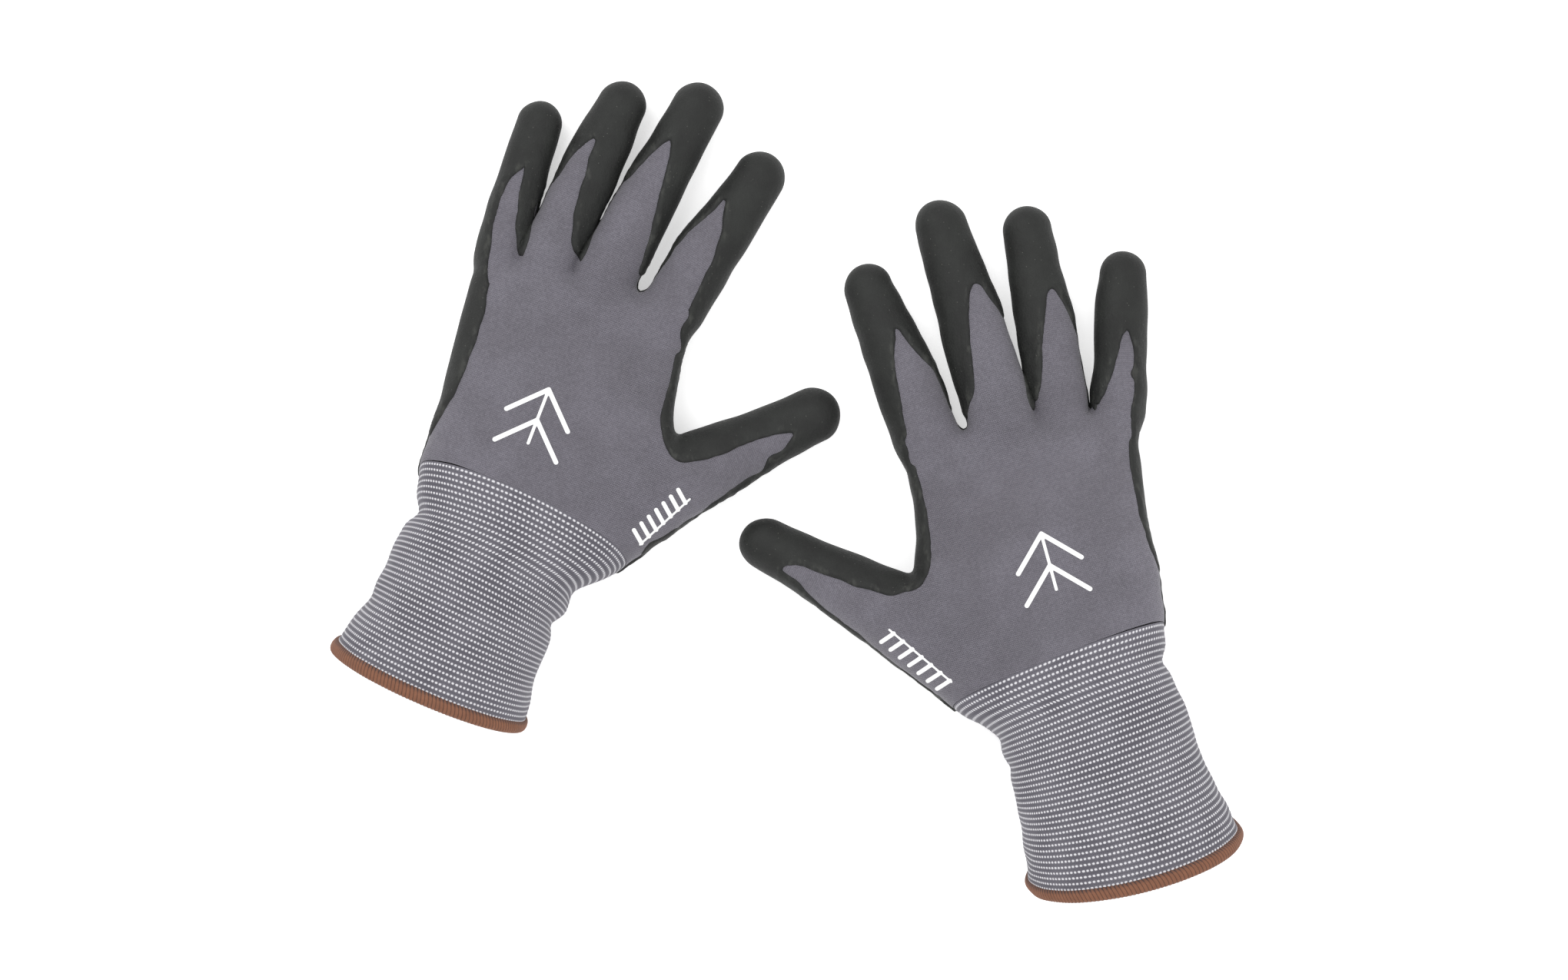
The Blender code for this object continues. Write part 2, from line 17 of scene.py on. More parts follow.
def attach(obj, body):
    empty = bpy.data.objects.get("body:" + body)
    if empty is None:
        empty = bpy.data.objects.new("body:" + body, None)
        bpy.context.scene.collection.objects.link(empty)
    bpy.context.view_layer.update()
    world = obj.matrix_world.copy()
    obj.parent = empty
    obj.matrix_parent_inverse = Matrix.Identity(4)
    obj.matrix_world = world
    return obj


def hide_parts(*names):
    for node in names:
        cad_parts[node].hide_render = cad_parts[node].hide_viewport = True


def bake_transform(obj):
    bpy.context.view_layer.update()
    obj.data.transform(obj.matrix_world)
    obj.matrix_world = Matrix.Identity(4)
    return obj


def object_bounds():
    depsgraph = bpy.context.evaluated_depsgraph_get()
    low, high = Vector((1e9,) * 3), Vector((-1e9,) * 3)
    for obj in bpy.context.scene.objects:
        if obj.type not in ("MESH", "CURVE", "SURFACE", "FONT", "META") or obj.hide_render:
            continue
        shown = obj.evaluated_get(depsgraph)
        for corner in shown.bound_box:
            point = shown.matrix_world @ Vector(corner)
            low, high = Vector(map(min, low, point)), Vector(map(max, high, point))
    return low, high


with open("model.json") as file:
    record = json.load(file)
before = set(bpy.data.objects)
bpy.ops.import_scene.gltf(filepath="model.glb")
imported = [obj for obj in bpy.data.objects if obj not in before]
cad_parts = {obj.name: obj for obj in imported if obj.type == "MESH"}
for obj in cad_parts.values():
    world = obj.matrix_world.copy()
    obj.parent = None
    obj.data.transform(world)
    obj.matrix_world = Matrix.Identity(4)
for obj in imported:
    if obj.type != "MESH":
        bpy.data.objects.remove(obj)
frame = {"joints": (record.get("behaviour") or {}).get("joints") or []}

CAD_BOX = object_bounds()
JOINTS = {joint["name"]: joint for joint in frame["joints"]}
MM = 0.001

COAT = 0.7            # thickness of the foam coating
COAT_SINK = 0.15      # how far the coating reaches into the knit
LIP = 0.95            # width of the coating's rounded edge
LINER = 1.0           # thickness of the knitted liner
RIB = 1.2             # thickness of the cuff's wall
FLAT = 0.86           # height of a finger over its width
GRID = 1.3            # spacing of the grid that the hand is drawn from
RING = 0.9            # spacing of the rings along a finger
ROUND = 72            # points round a finger
FINGER_GAP = 0.5      # between two fingers that lie against each other
MID_SHARE = 0.33      # a finger's middle fold, as a share of its length past the crotch
FOLD_SHARE = 0.32     # length between a finger's two folds, as a share of the same length
THUMB_BACK = 50.0     # how far the thumb's tube starts behind its base fold
THUMB_CUT = 5.0       # how far past its base fold the thumb's own pieces start
CROTCH_PAST = 5.0     # how far past the crotches the fingers' own pieces start
MID_REACH = 10.0      # length each side of a finger's middle fold, where the two points round the fold are taken
TIP_REACH = 8.0
THUMB_REACH = 9.0
KNUCKLE_REACH = 13.0
WRIST_REACH = 14.0
PIECE_CUT = 10.5      # where a finger's two pieces meet, past its middle fold
ROWS = 38             # knitted rows of the cuff
DOTS = 156            # white stitches in one row
HEM_HEIGHT = 4.4
HEM_HALF = 1.7
STITCHES = 168        # threads round the hem
FINGERS = ("index", "middle", "ring", "little")

# A section of the hand is (along, across, half width, half height). A finger is its half widths at
# the crotch, the two folds and the tip, and its reach past the last fold. A spear is the bare part
# of a finger's back: the left and the right edge as (along the finger, to the right of its middle).
# Back is the outline of the bare part of the hand and thumb. The junction and the hem are
# (along, slope to the right, rise on the back) of the rings where the ribs start and end.
GLOVES = {
    "left": {
        "sections": (
            (-62, -4, 41, 21.5), (-43.5, -3.2, 39.5, 21.5), (-23.6, -1.8, 36, 20.5),
            (-8, 0, 34.6, 19.8), (5, 0.5, 35, 19.2), (12, 2.4, 35.9, 18.9), (18.5, 6.4, 38.4, 18.5),
            (25.5, 9.2, 41.8, 18), (34.7, 9.2, 45.4, 17.5), (54.3, 7.6, 45.2, 16.5),
            (74, 7, 46.8, 15.3), (86, 3.9, 45, 14.6), (98, 1.8, 44, 13.7), (108, 0.2, 43.6, 12.8),
            (123, -0.6, 43, 11), (140, -1.5, 42, 10)),
        "crotch": (128.8, 0.13),
        "junction": (28.9, -4.1, 10.8),
        "hem": (-40.5, -2.2, -4.5),
        "fingers": {
            "index": ((12.6, 12.4, 10.9, 9.8), 24),
            "middle": ((13, 12.1, 10.8, 10), 29.2),
            "ring": ((12, 11.7, 11.1, 9.7), 26.7),
            "little": ((9.5, 9.6, 9.2, 8.4), 22.1),
        },
        "thumb": ((20, 15.2, 11.7, 10.6), 29.7),
        "spears": {
            "little": (
                ((-11, 0), (4.5, -4), (15.5, -5.2), (27.5, -4.4), (34.5, -1)),
                ((-11, 9), (2, 10), (3.5, 7.3), (10.5, 4.1), (17.5, 2.3), (29, 0.9), (36.2, 0.3))),
            "ring": (
                ((-14, -8), (0, -8.6), (13, -12), (20, -12.6), (30, -9.6), (42.5, -7.2), (47, -5)),
                ((-14, 12), (2, 13), (7, 7.8), (13, 4.5), (23.5, 1.4), (32, 0.1), (42, -1.7),
                 (49, -2.8))),
            "middle": (
                ((-14, -10), (1.5, -10), (10, -11.6), (29, -11.6), (39, -8.6), (49.5, -5.9), (54, -4)),
                ((-14, 15), (2, 15.5), (5, 11.5), (11, 9.9), (21.5, 7.6), (35, 3.9), (48, 0.8),
                 (55.5, -2.4))),
            "index": (
                ((-16, -12), (2, -12), (17.5, -11.2), (26.5, -9.8), (36, -7.3), (41.5, -6.2)),
                ((-16, 10.2), (-7, 7), (2, 5.7), (12, 4.6), (25, 2.8), (34, -0.4), (43, -5))),
        },
        "back": (
            (-45, 10), (-37.5, 42), (-34.5, 56), (-32.7, 66), (-32.1, 80), (-32.9, 96), (-35.5, 109),
            (-37, 117), (-28.4, 122.8), (-6.2, 127.4), (20.2, 128.6), (39, 127), (39.2, 119.4),
            (40.6, 109.8), (42.3, 99), (43.3, 89.6), (45, 82), (49.3, 75.3), (54.5, 71.5), (61, 72.6),
            (70, 78.4), (77, 85.5), (86, 92.6), (92, 96.6), (94.2, 95.8), (92, 89.6), (88.6, 85),
            (87.6, 79.6), (82.5, 73.4), (72.5, 57.8), (66.5, 49.8), (60.6, 41.8), (55.6, 33.4),
            (58, 10)),
        "stretch": ((34, 96, 20), (50, 66, 16), (44, 50, 22), (6, 118, 20)),
        "marks": ((0.6, 67), (51.5, 37.5), (63.2, 60.5)),
        "creases": (
            (17, math.pi, 2.2, 4), (-5, 0, 2, 3.6), (-20, math.pi, 1, 5), (9, 0.2, 0.8, 4)),
    },
    "right": {
        "sections": (
            (-72, 2, 42, 21.5), (-48.5, 1.9, 41, 21.5), (-27, 0.7, 37.6, 20.5), (-8, 0, 36.2, 19.8),
            (5, -1, 36, 19.2), (13, -3.6, 37.3, 18.9), (20, -7.8, 41.2, 18.5), (27, -9.4, 43.8, 18),
            (34, -8, 44.6, 17.5), (53, -4.4, 44.4, 16.5), (72, -6, 46.5, 15.3), (90, -2.2, 44.9, 14.2),
            (104.5, 0.2, 44.8, 12.8), (118.5, 1.5, 46, 11), (136, 4, 50, 10)),
        "crotch": (126.2, -0.148),
        "junction": (27, 5.6, 5),
        "hem": (-48.6, 0, -9.8),
        "fingers": {
            "index": ((13.3, 12.8, 11.2, 9.4), 23.9),
            "middle": ((14.2, 13.3, 11.4, 10.3), 30),
            "ring": ((11.7, 11.9, 10.4, 9.6), 27.6),
            "little": ((10.6, 10.5, 10.2, 9), 21.2),
        },
        "thumb": ((21.5, 14.6, 10.9, 10.3), 26.7),
        "spears": {
            "index": (
                ((-12, -8.8), (3, -7.1), (15.5, -4.6), (28, -1.9), (37, 2.1)),
                ((-12, 14), (-1.4, 14), (2, 12.4), (10.5, 11.8), (19, 11.5), (25, 8.9), (35, 5.5),
                 (40.5, 4))),
            "middle": (
                ((-14, -13), (1.5, -12.8), (11, -7.4), (20.6, -5), (32, -2.7), (42, 0.5), (48.8, 4)),
                ((-14, 12), (0, 11.6), (11.7, 13), (21, 14.4), (32, 12.6), (40.5, 10), (47.5, 7.9),
                 (49.6, 6))),
            "ring": (
                ((-14, -10), (2, -10), (5, -8), (14, -4.9), (23, -3.3), (36, 0), (43, 1.9)),
                ((-14, 11.6), (4, 11.6), (16.7, 12), (26, 11.2), (35.7, 9), (42.5, 6.4), (45.2, 4.4))),
            "little": (
                ((-12, -9), (0, -8.4), (2, -7.2), (8, -4.7), (18, -2.3), (26, -0.4), (29.5, 1)),
                ((-12, 4.5), (-2, 4.8), (7, 5.5), (11, 5.4), (13.9, 3.7), (17.3, 4.9), (21.8, 4.7),
                 (28, 3.2), (30.4, 2))),
        },
        "back": (
            (43, 12), (40, 42), (38.8, 56), (37.8, 68), (37.4, 76), (38.2, 86), (39, 96.4),
            (41.4, 106), (44, 114), (31.2, 119.4), (8.2, 125), (-19.2, 127), (-40.6, 128),
            (-40.8, 118.4), (-40.6, 108), (-41.4, 95.4), (-42.8, 86), (-44.6, 79), (-47.4, 73.8),
            (-52, 70.6), (-61.8, 70.2), (-69, 73.8), (-79, 80), (-90, 87.6), (-97, 91.2), (-100.4, 90),
            (-95.5, 84), (-92, 77.6), (-88.8, 72), (-82, 63.6), (-75.2, 54.4), (-66.8, 43.2),
            (-58.6, 31.8), (-53, 25.6), (-50, 10)),
        "stretch": ((-32, 92, 20), (-50, 66, 16), (-42, 48, 24), (-4, 116, 20)),
        "marks": ((-1.2, 66), (-69, 56.2), (-51.2, 31)),
        "creases": (
            (6, math.pi, 1.4, 4), (-6, math.pi, 1, 3.2), (19, 0, 1.4, 4), (-16, 0, 0.6, 5)),
    },
}
SQUARES = ((-50, 2.2), (20, 2.3), (40, 2.5), (60, 2.8), (140, 2.6))
MARK_DEPTH, MARK_HALF, MARK_STROKE = 12.5, 12.5, 1.8
BARS, BAR_HEIGHT, BAR_WIDTH, BAR_SLANT, RULE = 7, 5.6, 1.6, 1.4, 0.8
INK_HIGH, INK_LOW = 0.12, 0.15
PRINT_STEP = 0.35     # spacing of the grid that a print is drawn on
HAND_BLEND = 5.0      # how softly fingers and thumb run into the hand
KNUCKLE_BLEND = 9.0   # and the hand's own rounded end behind the crotches
FINGER_BLEND = 1.2
FLOOR_BLEND = 0.8     # rounding where the glove meets the floor
EDGE_SNAP = 0.09      # points this near a level of the coating's edge are moved onto it
RIB_HIGH, RIB_SUNK = 0.24, 0.1
SKY, KEY_POWER, FILL_POWER = 0.9, 14, 7
CAMERA_HEIGHT, FRAME_WIDTH, FRAME_LEVEL = 1.8, 0.605, 0.012


# ---------------------------------------------------------------- numbers

def smooth_min(a, b, k):
    share = np.clip(0.5 + 0.5 * (b - a) / k, 0, 1)
    return b + (a - b) * share - k * share * (1 - share)


def smooth_step(x, low, high):
    t = np.clip((x - low) / (high - low), 0, 1)
    return t * t * (3 - 2 * t)


def smooth_curve(x, xs, ys):
    """A cubic through the points (xs, ys), level past both ends."""
    xs, ys = np.asarray(xs, float), np.asarray(ys, float)
    slope = np.gradient(ys, xs)
    i = np.clip(np.searchsorted(xs, x) - 1, 0, len(xs) - 2)
    width = xs[i + 1] - xs[i]
    t = np.clip((x - xs[i]) / width, 0, 1)
    a, b = ys[i], ys[i + 1]
    return ((2 * t**3 - 3 * t**2 + 1) * a + (t**3 - 2 * t**2 + t) * width * slope[i]
            + (3 * t**2 - 2 * t**3) * b + (t**3 - t**2) * width * slope[i + 1])


class Ripple:
    """A smooth random field: a sum of waves about one length long, in all directions."""

    def __init__(self, length, seed, waves=9):
        random = np.random.default_rng(seed)
        turn = random.normal(size=(waves, 3))
        self.turn = turn / np.linalg.norm(turn, axis=1)[:, None] * random.uniform(0.7, 1.3, (waves, 1))
        self.turn *= math.tau / length
        self.phase = random.uniform(0, math.tau, waves)

    def __call__(self, points):
        return np.sin(points @ self.turn.T + self.phase).sum(1) / math.sqrt(len(self.phase))


def outline_distance(xy, outline):
    """Distance from each point to a closed outline, negative inside it."""
    corners = np.asarray(outline, float)
    best = np.full(len(xy), 1e9)
    inside = np.zeros(len(xy), bool)
    for a, b in zip(corners, np.roll(corners, -1, axis=0)):
        along = b - a
        share = np.clip((xy - a) @ along / (along @ along), 0, 1)
        best = np.minimum(best, np.linalg.norm(xy - a - share[:, None] * along, axis=1))
        crosses = (a[1] > xy[:, 1]) != (b[1] > xy[:, 1])
        level = a[0] + (xy[:, 1] - a[1]) / (along[1] if along[1] else 1e-9) * along[0]
        inside ^= crosses & (xy[:, 0] < level)
    return np.where(inside, -best, best)


def rounded(outline, steps=5):
    """A closed outline with its corners eased by a curve through its points."""
    corners = np.asarray(outline, float)
    before, after, past = np.roll(corners, 1, 0), np.roll(corners, -1, 0), np.roll(corners, -2, 0)
    found = []
    for p0, p1, p2, p3 in zip(before, corners, after, past):
        for t in np.arange(steps) / steps:
            found.append(0.5 * (2 * p1 + (p2 - p0) * t + (2 * p0 - 5 * p1 + 4 * p2 - p3) * t * t
                                + (3 * p1 - p0 - 3 * p2 + p3) * t**3))
    return np.array(found)


# ---------------------------------------------------------------- shape of a glove

class Tube:
    """A finger or thumb: a bent line at half height, with a half width along it."""

    def __init__(self, points, widths, reach):
        self.points = np.array(points, float)
        steps = np.linalg.norm(np.diff(self.points, axis=0), axis=1)
        self.stations = np.concatenate([[0.0], np.cumsum(steps)])
        last = (self.points[-1] - self.points[-2]) / steps[-1]
        self.end = self.stations[-1] + reach - widths[3]
        self.points = np.vstack([self.points, self.points[-1] + last * (self.end - self.stations[-1])])
        self.stations = np.append(self.stations, self.end)
        self.widths = np.array(widths, float)

    def width(self, s):
        return smooth_curve(np.clip(s, 0, self.end), self.stations, self.widths)

    def measure(self, xy):
        """Station along the tube and distance to the right of its middle line, in plan."""
        best = np.full(len(xy), 1e9)
        station, right = np.zeros(len(xy)), np.zeros(len(xy))
        for i, (a, b) in enumerate(zip(self.points, self.points[1:])):
            length = np.linalg.norm(b - a)
            along = (b - a) / length
            t = (xy - a) @ along
            low = -1e9 if i == 0 else 0.0
            high = 1e9 if i == len(self.points) - 2 else length
            held = np.clip(t, low, high)
            gap = np.linalg.norm(xy - a - held[:, None] * along, axis=1)
            nearer = gap < best
            best = np.where(nearer, gap, best)
            station = np.where(nearer, self.stations[i] + held, station)
            right = np.where(nearer, (xy - a) @ np.array([along[1], -along[0]]), right)
        return station, right

    def field(self, p):
        s, v = self.measure(p[:, :2])
        width = self.width(s)
        up = (p[:, 2] - FLAT * width) / FLAT
        over = np.maximum(s - self.end, 0) + np.minimum(s, 0)
        return np.sqrt(v * v + up * up + over * over) - width

    def at(self, s):
        """Points on the middle line, in plan, and the direction of the line there."""
        s = np.asarray(s, float)
        xy = np.stack([np.interp(s, self.stations, self.points[:, k]) for k in (0, 1)], -1)
        beyond = np.maximum(s - self.end, 0) + np.minimum(s, 0)
        headings = np.diff(self.points, axis=0)
        headings /= np.linalg.norm(headings, axis=1)[:, None]
        middles = (self.stations[1:] + self.stations[:-1]) / 2
        along = np.stack([np.interp(s, middles, headings[:, k]) for k in (0, 1)], -1)
        along /= np.linalg.norm(along, axis=-1, keepdims=True)
        return xy + beyond[..., None] * along, along

    def place(self, s, v):
        xy, along = self.at(s)
        return xy + np.asarray(v)[..., None] * np.stack([along[..., 1], -along[..., 0]], -1)


class Glove:
    """One glove's frame, fields and outlines."""

    def __init__(self, side):
        self.side, self.plan = side, GLOVES[side]
        wrist, knuckle = self.world_joint("wrist_fold"), self.world_joint("knuckle_fold")
        self.origin = wrist[:2]
        self.up = (knuckle[:2] - wrist[:2]) / np.linalg.norm(knuckle[:2] - wrist[:2])
        self.right = np.array([self.up[1], -self.up[0]])
        rows = np.array(self.plan["sections"], float)
        self.stations, self.middle, self.half, self.height = rows.T
        self.fingers = {name: self.finger(name) for name in FINGERS}
        self.thumb = self.make_thumb()
        seed = 11 if side == "left" else 23
        self.soft, self.small = Ripple(34, seed), Ripple(13, seed + 1)
        self.wave, self.jitter = Ripple(9, seed + 2), Ripple(3.2, seed + 3)
        self.outlines = [rounded(self.plan["back"])]
        for name, (left, right) in self.plan["spears"].items():
            edge = np.array(left + right[::-1], float)
            self.outlines.append(rounded(self.fingers[name].place(edge[:, 0], edge[:, 1])))

    def world_joint(self, name):
        return np.array(JOINTS[f"{self.side}_{name}"]["pos_m"]) / MM

    def joint(self, name):
        away = self.world_joint(name)[:2] - self.origin
        return np.array([away @ self.right, away @ self.up])

    def world(self, p):
        xy = self.origin + p[:, :1] * self.right + p[:, 1:2] * self.up
        return np.column_stack([xy, p[:, 2]]) * MM

    def direction(self, name):
        """Where the finger points at a joint: the joint's axis turned a quarter, in plan."""
        axis = JOINTS[f"{self.side}_{name}"]["axis"]
        along = np.array([axis[1], -axis[0]]) / math.hypot(axis[0], axis[1])
        return np.array([along @ self.right, along @ self.up])

    def finger(self, name):
        middle, tip = self.joint(f"{name}_mid_fold"), self.joint(f"{name}_tip_fold")
        back = MID_SHARE * np.linalg.norm(tip - middle) / FOLD_SHARE
        root = middle - self.direction(f"{name}_mid_fold") * back
        return Tube([root, middle, tip], *self.plan["fingers"][name])

    def make_thumb(self):
        base, tip = self.joint("thumb_base_fold"), self.joint("thumb_tip_fold")
        root = base - self.direction("thumb_base_fold") * THUMB_BACK
        return Tube([root, base, tip], *self.plan["thumb"])

    def section(self, y):
        """Middle, half width, half height and squareness of the hand and cuff at a station."""
        return [smooth_curve(y, self.stations, row) for row in (self.middle, self.half, self.height)] + [
            smooth_curve(y, *zip(*SQUARES))]

    def ring_station(self, name, x, z):
        """Station of the junction or the hem at a point round the cuff."""
        along, slope, rise = self.plan[name]
        middle, half, height, _ = self.section(np.full(np.shape(x), along))
        return along + slope * (x - middle) / half + rise * np.clip((z - height) / height, -1, 1)

    def past_junction(self, p):
        return p[:, 1] - self.ring_station("junction", p[:, 0], p[:, 2])

    def slab(self, p):
        """Distance to the hand and cuff without fingers, a bent superellipse."""
        middle, half, height, square = self.section(p[:, 1])
        x, z = np.abs(p[:, 0] - middle) + 1e-6, np.abs(p[:, 2] - height) + 1e-6
        size = ((x / half)**square + (z / height)**square)**(1 / square)
        slope = size**(1 - square) * np.hypot(x**(square - 1) / half**square,
                                              z**(square - 1) / height**square)
        return (size - 1) / np.maximum(slope, 0.5 / half)

    def crotch(self, x):
        along, slope = self.plan["crotch"]
        return along + slope * x

    def knuckle_end(self, p):
        return p[:, 1] - self.crotch(p[:, 0])

    def skin(self, p):
        """How far the liner lies inside the outline: the coating's thickness, fading out at the cuff."""
        return COAT * smooth_step(self.past_junction(p), 0.0, 10.0)

    def bumps(self, p):
        on_hand = smooth_step(p[:, 1], 30, 60)
        return 0.30 * self.soft(p) * on_hand + 0.13 * self.small(p)

    def finger_fields(self, p):
        return [tube.field(p) for tube in self.fingers.values()]

    def field(self, p):
        """Distance to the liner's outer surface, negative inside."""
        hand = -smooth_min(-self.slab(p), -(self.knuckle_end(p) + 4.0), KNUCKLE_BLEND)
        fingers = None
        for found in self.finger_fields(p):
            fingers = found if fingers is None else smooth_min(fingers, found, FINGER_BLEND)
        whole = smooth_min(hand, fingers, HAND_BLEND)
        # The thumb's root fades out at the cuff, which meets the hand's own outline.
        thumb = self.thumb.field(p) + 5.0 * (1 - smooth_step(self.past_junction(p), 0.0, 9.0))
        whole = smooth_min(whole, thumb, HAND_BLEND)
        whole = whole + self.skin(p) - self.bumps(p)
        return -smooth_min(-whole, -(self.skin(p) - p[:, 2]), FLOOR_BLEND)

    def half_way(self, p):
        """Height of the widest line round the glove, below which all is coated."""
        _, _, height, _ = self.section(p[:, 1])
        share = smooth_step(p[:, 1], 108, 128)
        level = height * (1 - share) + 10.0 * share
        thumb, _ = self.thumb.measure(p[:, :2])
        on_thumb = smooth_step(self.slab(p) - self.thumb.field(p), 0, 8)
        return level * (1 - on_thumb) + FLAT * self.thumb.width(thumb) * on_thumb

    def coated(self, p):
        """Distance into the coated part, negative on the bare knit of the back."""
        bare = np.full(len(p), 1e9)
        for outline in self.outlines:
            bare = np.minimum(bare, outline_distance(p[:, :2], outline))
        under = (self.half_way(p) - 1.5 - p[:, 2]) * 1.4
        return -smooth_min(-bare, -under, 1.0) + 0.20 * self.wave(p) + 0.07 * self.jitter(p)

    def crease(self, y, angle):
        """Folds pressed into the cuff's sides, as a depth."""
        depth = np.zeros(np.shape(angle))
        for along, place, deep, wide in self.plan["creases"]:
            turn = np.abs((angle - place + math.pi) % math.tau - math.pi)
            slant = y - along - 5.0 * np.sin(turn)
            shape = np.exp(-(slant / wide)**2) - 0.55 * np.exp(-((slant - 1.9 * wide) / (1.2 * wide))**2)
            depth = depth + deep * shape * np.exp(-(turn / 0.75)**2)
        return depth


# ---------------------------------------------------------------- meshes as arrays

class Skin:
    """Triangles with columns for each point: x, y, z, normal, u, v, coating, stretch."""

    def __init__(self, points, triangles, u, v):
        self.triangles = triangles
        self.data = np.column_stack([points, vertex_normals(points, triangles), u, v])

    def add(self, *columns):
        self.data = np.column_stack([self.data, *columns])
        return self


def vertex_normals(points, triangles):
    a, b, c = (points[triangles[:, k]] for k in range(3))
    face = np.cross(b - a, c - a)
    total = np.zeros_like(points)
    for k in range(3):
        np.add.at(total, triangles[:, k], face)
    return total / np.maximum(np.linalg.norm(total, axis=1), 1e-12)[:, None]


def split(data, triangles, value, snap):
    """Adds points where value crosses zero, so that no triangle lies on both sides."""
    value = np.where(np.abs(value) < snap, 0.0, value)
    ends = np.concatenate([triangles[:, [0, 1]], triangles[:, [1, 2]], triangles[:, [2, 0]]])
    ends.sort(axis=1)
    edges, index = np.unique(ends, axis=0, return_inverse=True)
    index = index.reshape(3, -1).T
    crossed = value[edges[:, 0]] * value[edges[:, 1]] < 0
    added = np.full(len(edges), -1)
    added[crossed] = len(data) + np.arange(crossed.sum())
    a, b = edges[crossed].T
    share = (value[a] / (value[a] - value[b]))[:, None]
    data = np.vstack([data, data[a] * (1 - share) + data[b] * share])
    value = np.concatenate([value, np.zeros(crossed.sum())])
    new = added[index]
    count = (new >= 0).sum(1)
    kept = [triangles[count == 0]]
    for turn in range(3):
        i, j, k = turn, (turn + 1) % 3, (turn + 2) % 3
        one = (count == 1) & (new[:, j] >= 0)
        t, e = triangles[one], new[one, j]
        kept += [np.column_stack([t[:, i], t[:, j], e]), np.column_stack([t[:, i], e, t[:, k]])]
        two = (count == 2) & (new[:, j] < 0)
        t, first, last = triangles[two], new[two, i], new[two, k]
        kept += [np.column_stack([t[:, i], first, last]), np.column_stack([first, t[:, j], t[:, k]]),
                 np.column_stack([first, t[:, k], last])]
    return data, np.vstack(kept), value


def keep_side(data, triangles, value, snap=0.02):
    """The part of a mesh where value is positive."""
    data, triangles, value = split(data, triangles, value, snap)
    return compact(data, triangles[value[triangles].sum(1) > 0])


def compact(data, triangles):
    used, index = np.unique(triangles, return_inverse=True)
    return data[used], index.reshape(-1, 3)


def surface_net(field, low, high, step):
    """A closed mesh of quads on the field's zero level, drawn from a grid of its values."""
    axes = [np.arange(a, b, step) for a, b in zip(low, high)]
    grid = np.stack(np.meshgrid(*axes, indexing="ij"), -1)
    shape = grid.shape[:3]
    chunks = np.array_split(grid.reshape(-1, 3), 24)
    values = np.concatenate([field(part) for part in chunks]).reshape(shape)
    cells = tuple(n - 1 for n in shape)
    total, count = np.zeros(cells + (3,)), np.zeros(cells)
    quads = []
    for axis in range(3):
        ahead = np.take(values, range(1, shape[axis]), axis)
        behind = np.take(values, range(shape[axis] - 1), axis)
        crosses = (ahead < 0) != (behind < 0)
        share = np.where(crosses, behind / np.where(crosses, behind - ahead, 1), 0)
        others = [k for k in range(3) if k != axis]
        start = np.take(grid, range(shape[axis] - 1), axis)
        point = start + 0.0
        point[..., axis] += share * step
        for i in (0, 1):
            for j in (0, 1):
                pick = [slice(None)] * 3
                pick[others[0]] = slice(i, i + cells[others[0]])
                pick[others[1]] = slice(j, j + cells[others[1]])
                pick = tuple(pick)
                hit = crosses[pick]
                total += np.where(hit[..., None], point[pick], 0)
                count += hit
        inner = [slice(None)] * 3
        inner[others[0]] = slice(1, cells[others[0]])
        inner[others[1]] = slice(1, cells[others[1]])
        where = np.argwhere(crosses[tuple(inner)])
        where[:, others] += 1
        outward = behind[tuple(where.T)] < 0
        corners = []
        for i, j in ((1, 1), (0, 1), (0, 0), (1, 0)):
            cell = where.copy()
            cell[:, others[0]] -= i
            cell[:, others[1]] -= j
            corners.append(np.ravel_multi_index(cell.T, cells))
        quad = np.column_stack(corners)
        flip = outward == (axis == 1)
        quad[flip] = quad[flip][:, ::-1]
        quads.append(quad)
    quads = np.vstack(quads)
    used, index = np.unique(quads, return_inverse=True)
    points = (total.reshape(-1, 3)[used] / count.reshape(-1)[used][:, None])
    index = index.reshape(-1, 4)
    return points, np.vstack([index[:, [0, 1, 2]], index[:, [0, 2, 3]]])


def settle(points, triangles, field, rounds=3):
    """Evens out the points and moves them onto the field's zero level."""
    ends = np.vstack([triangles[:, [0, 1]], triangles[:, [1, 2]], triangles[:, [2, 0]]])
    for turn in range(rounds):
        if turn < rounds - 1:
            total, count = np.zeros_like(points), np.zeros(len(points))
            np.add.at(total, ends[:, 0], points[ends[:, 1]])
            np.add.at(count, ends[:, 0], 1)
            points = points * 0.5 + 0.5 * total / np.maximum(count, 1)[:, None]
        value = field(points)
        slope = np.stack([(field(points + step) - field(points - step)) / 0.1
                          for step in np.eye(3) * 0.05], -1)
        move = (value / np.maximum((slope**2).sum(1), 0.2))[:, None] * slope
        points = points - np.clip(move, -1, 1)
    return points


def grid_triangles(rows, columns, closed=True):
    """Triangles of a grid of rows by columns, joined round its columns."""
    i, j = np.meshgrid(np.arange(rows - 1), np.arange(columns if closed else columns - 1), indexing="ij")
    i, j = i.ravel(), j.ravel()
    a, b = i * columns + j, i * columns + (j + 1) % columns
    c, d = a + columns, b + columns
    return np.vstack([np.column_stack([a, b, d]), np.column_stack([a, d, c])])


# ---------------------------------------------------------------- Blender objects

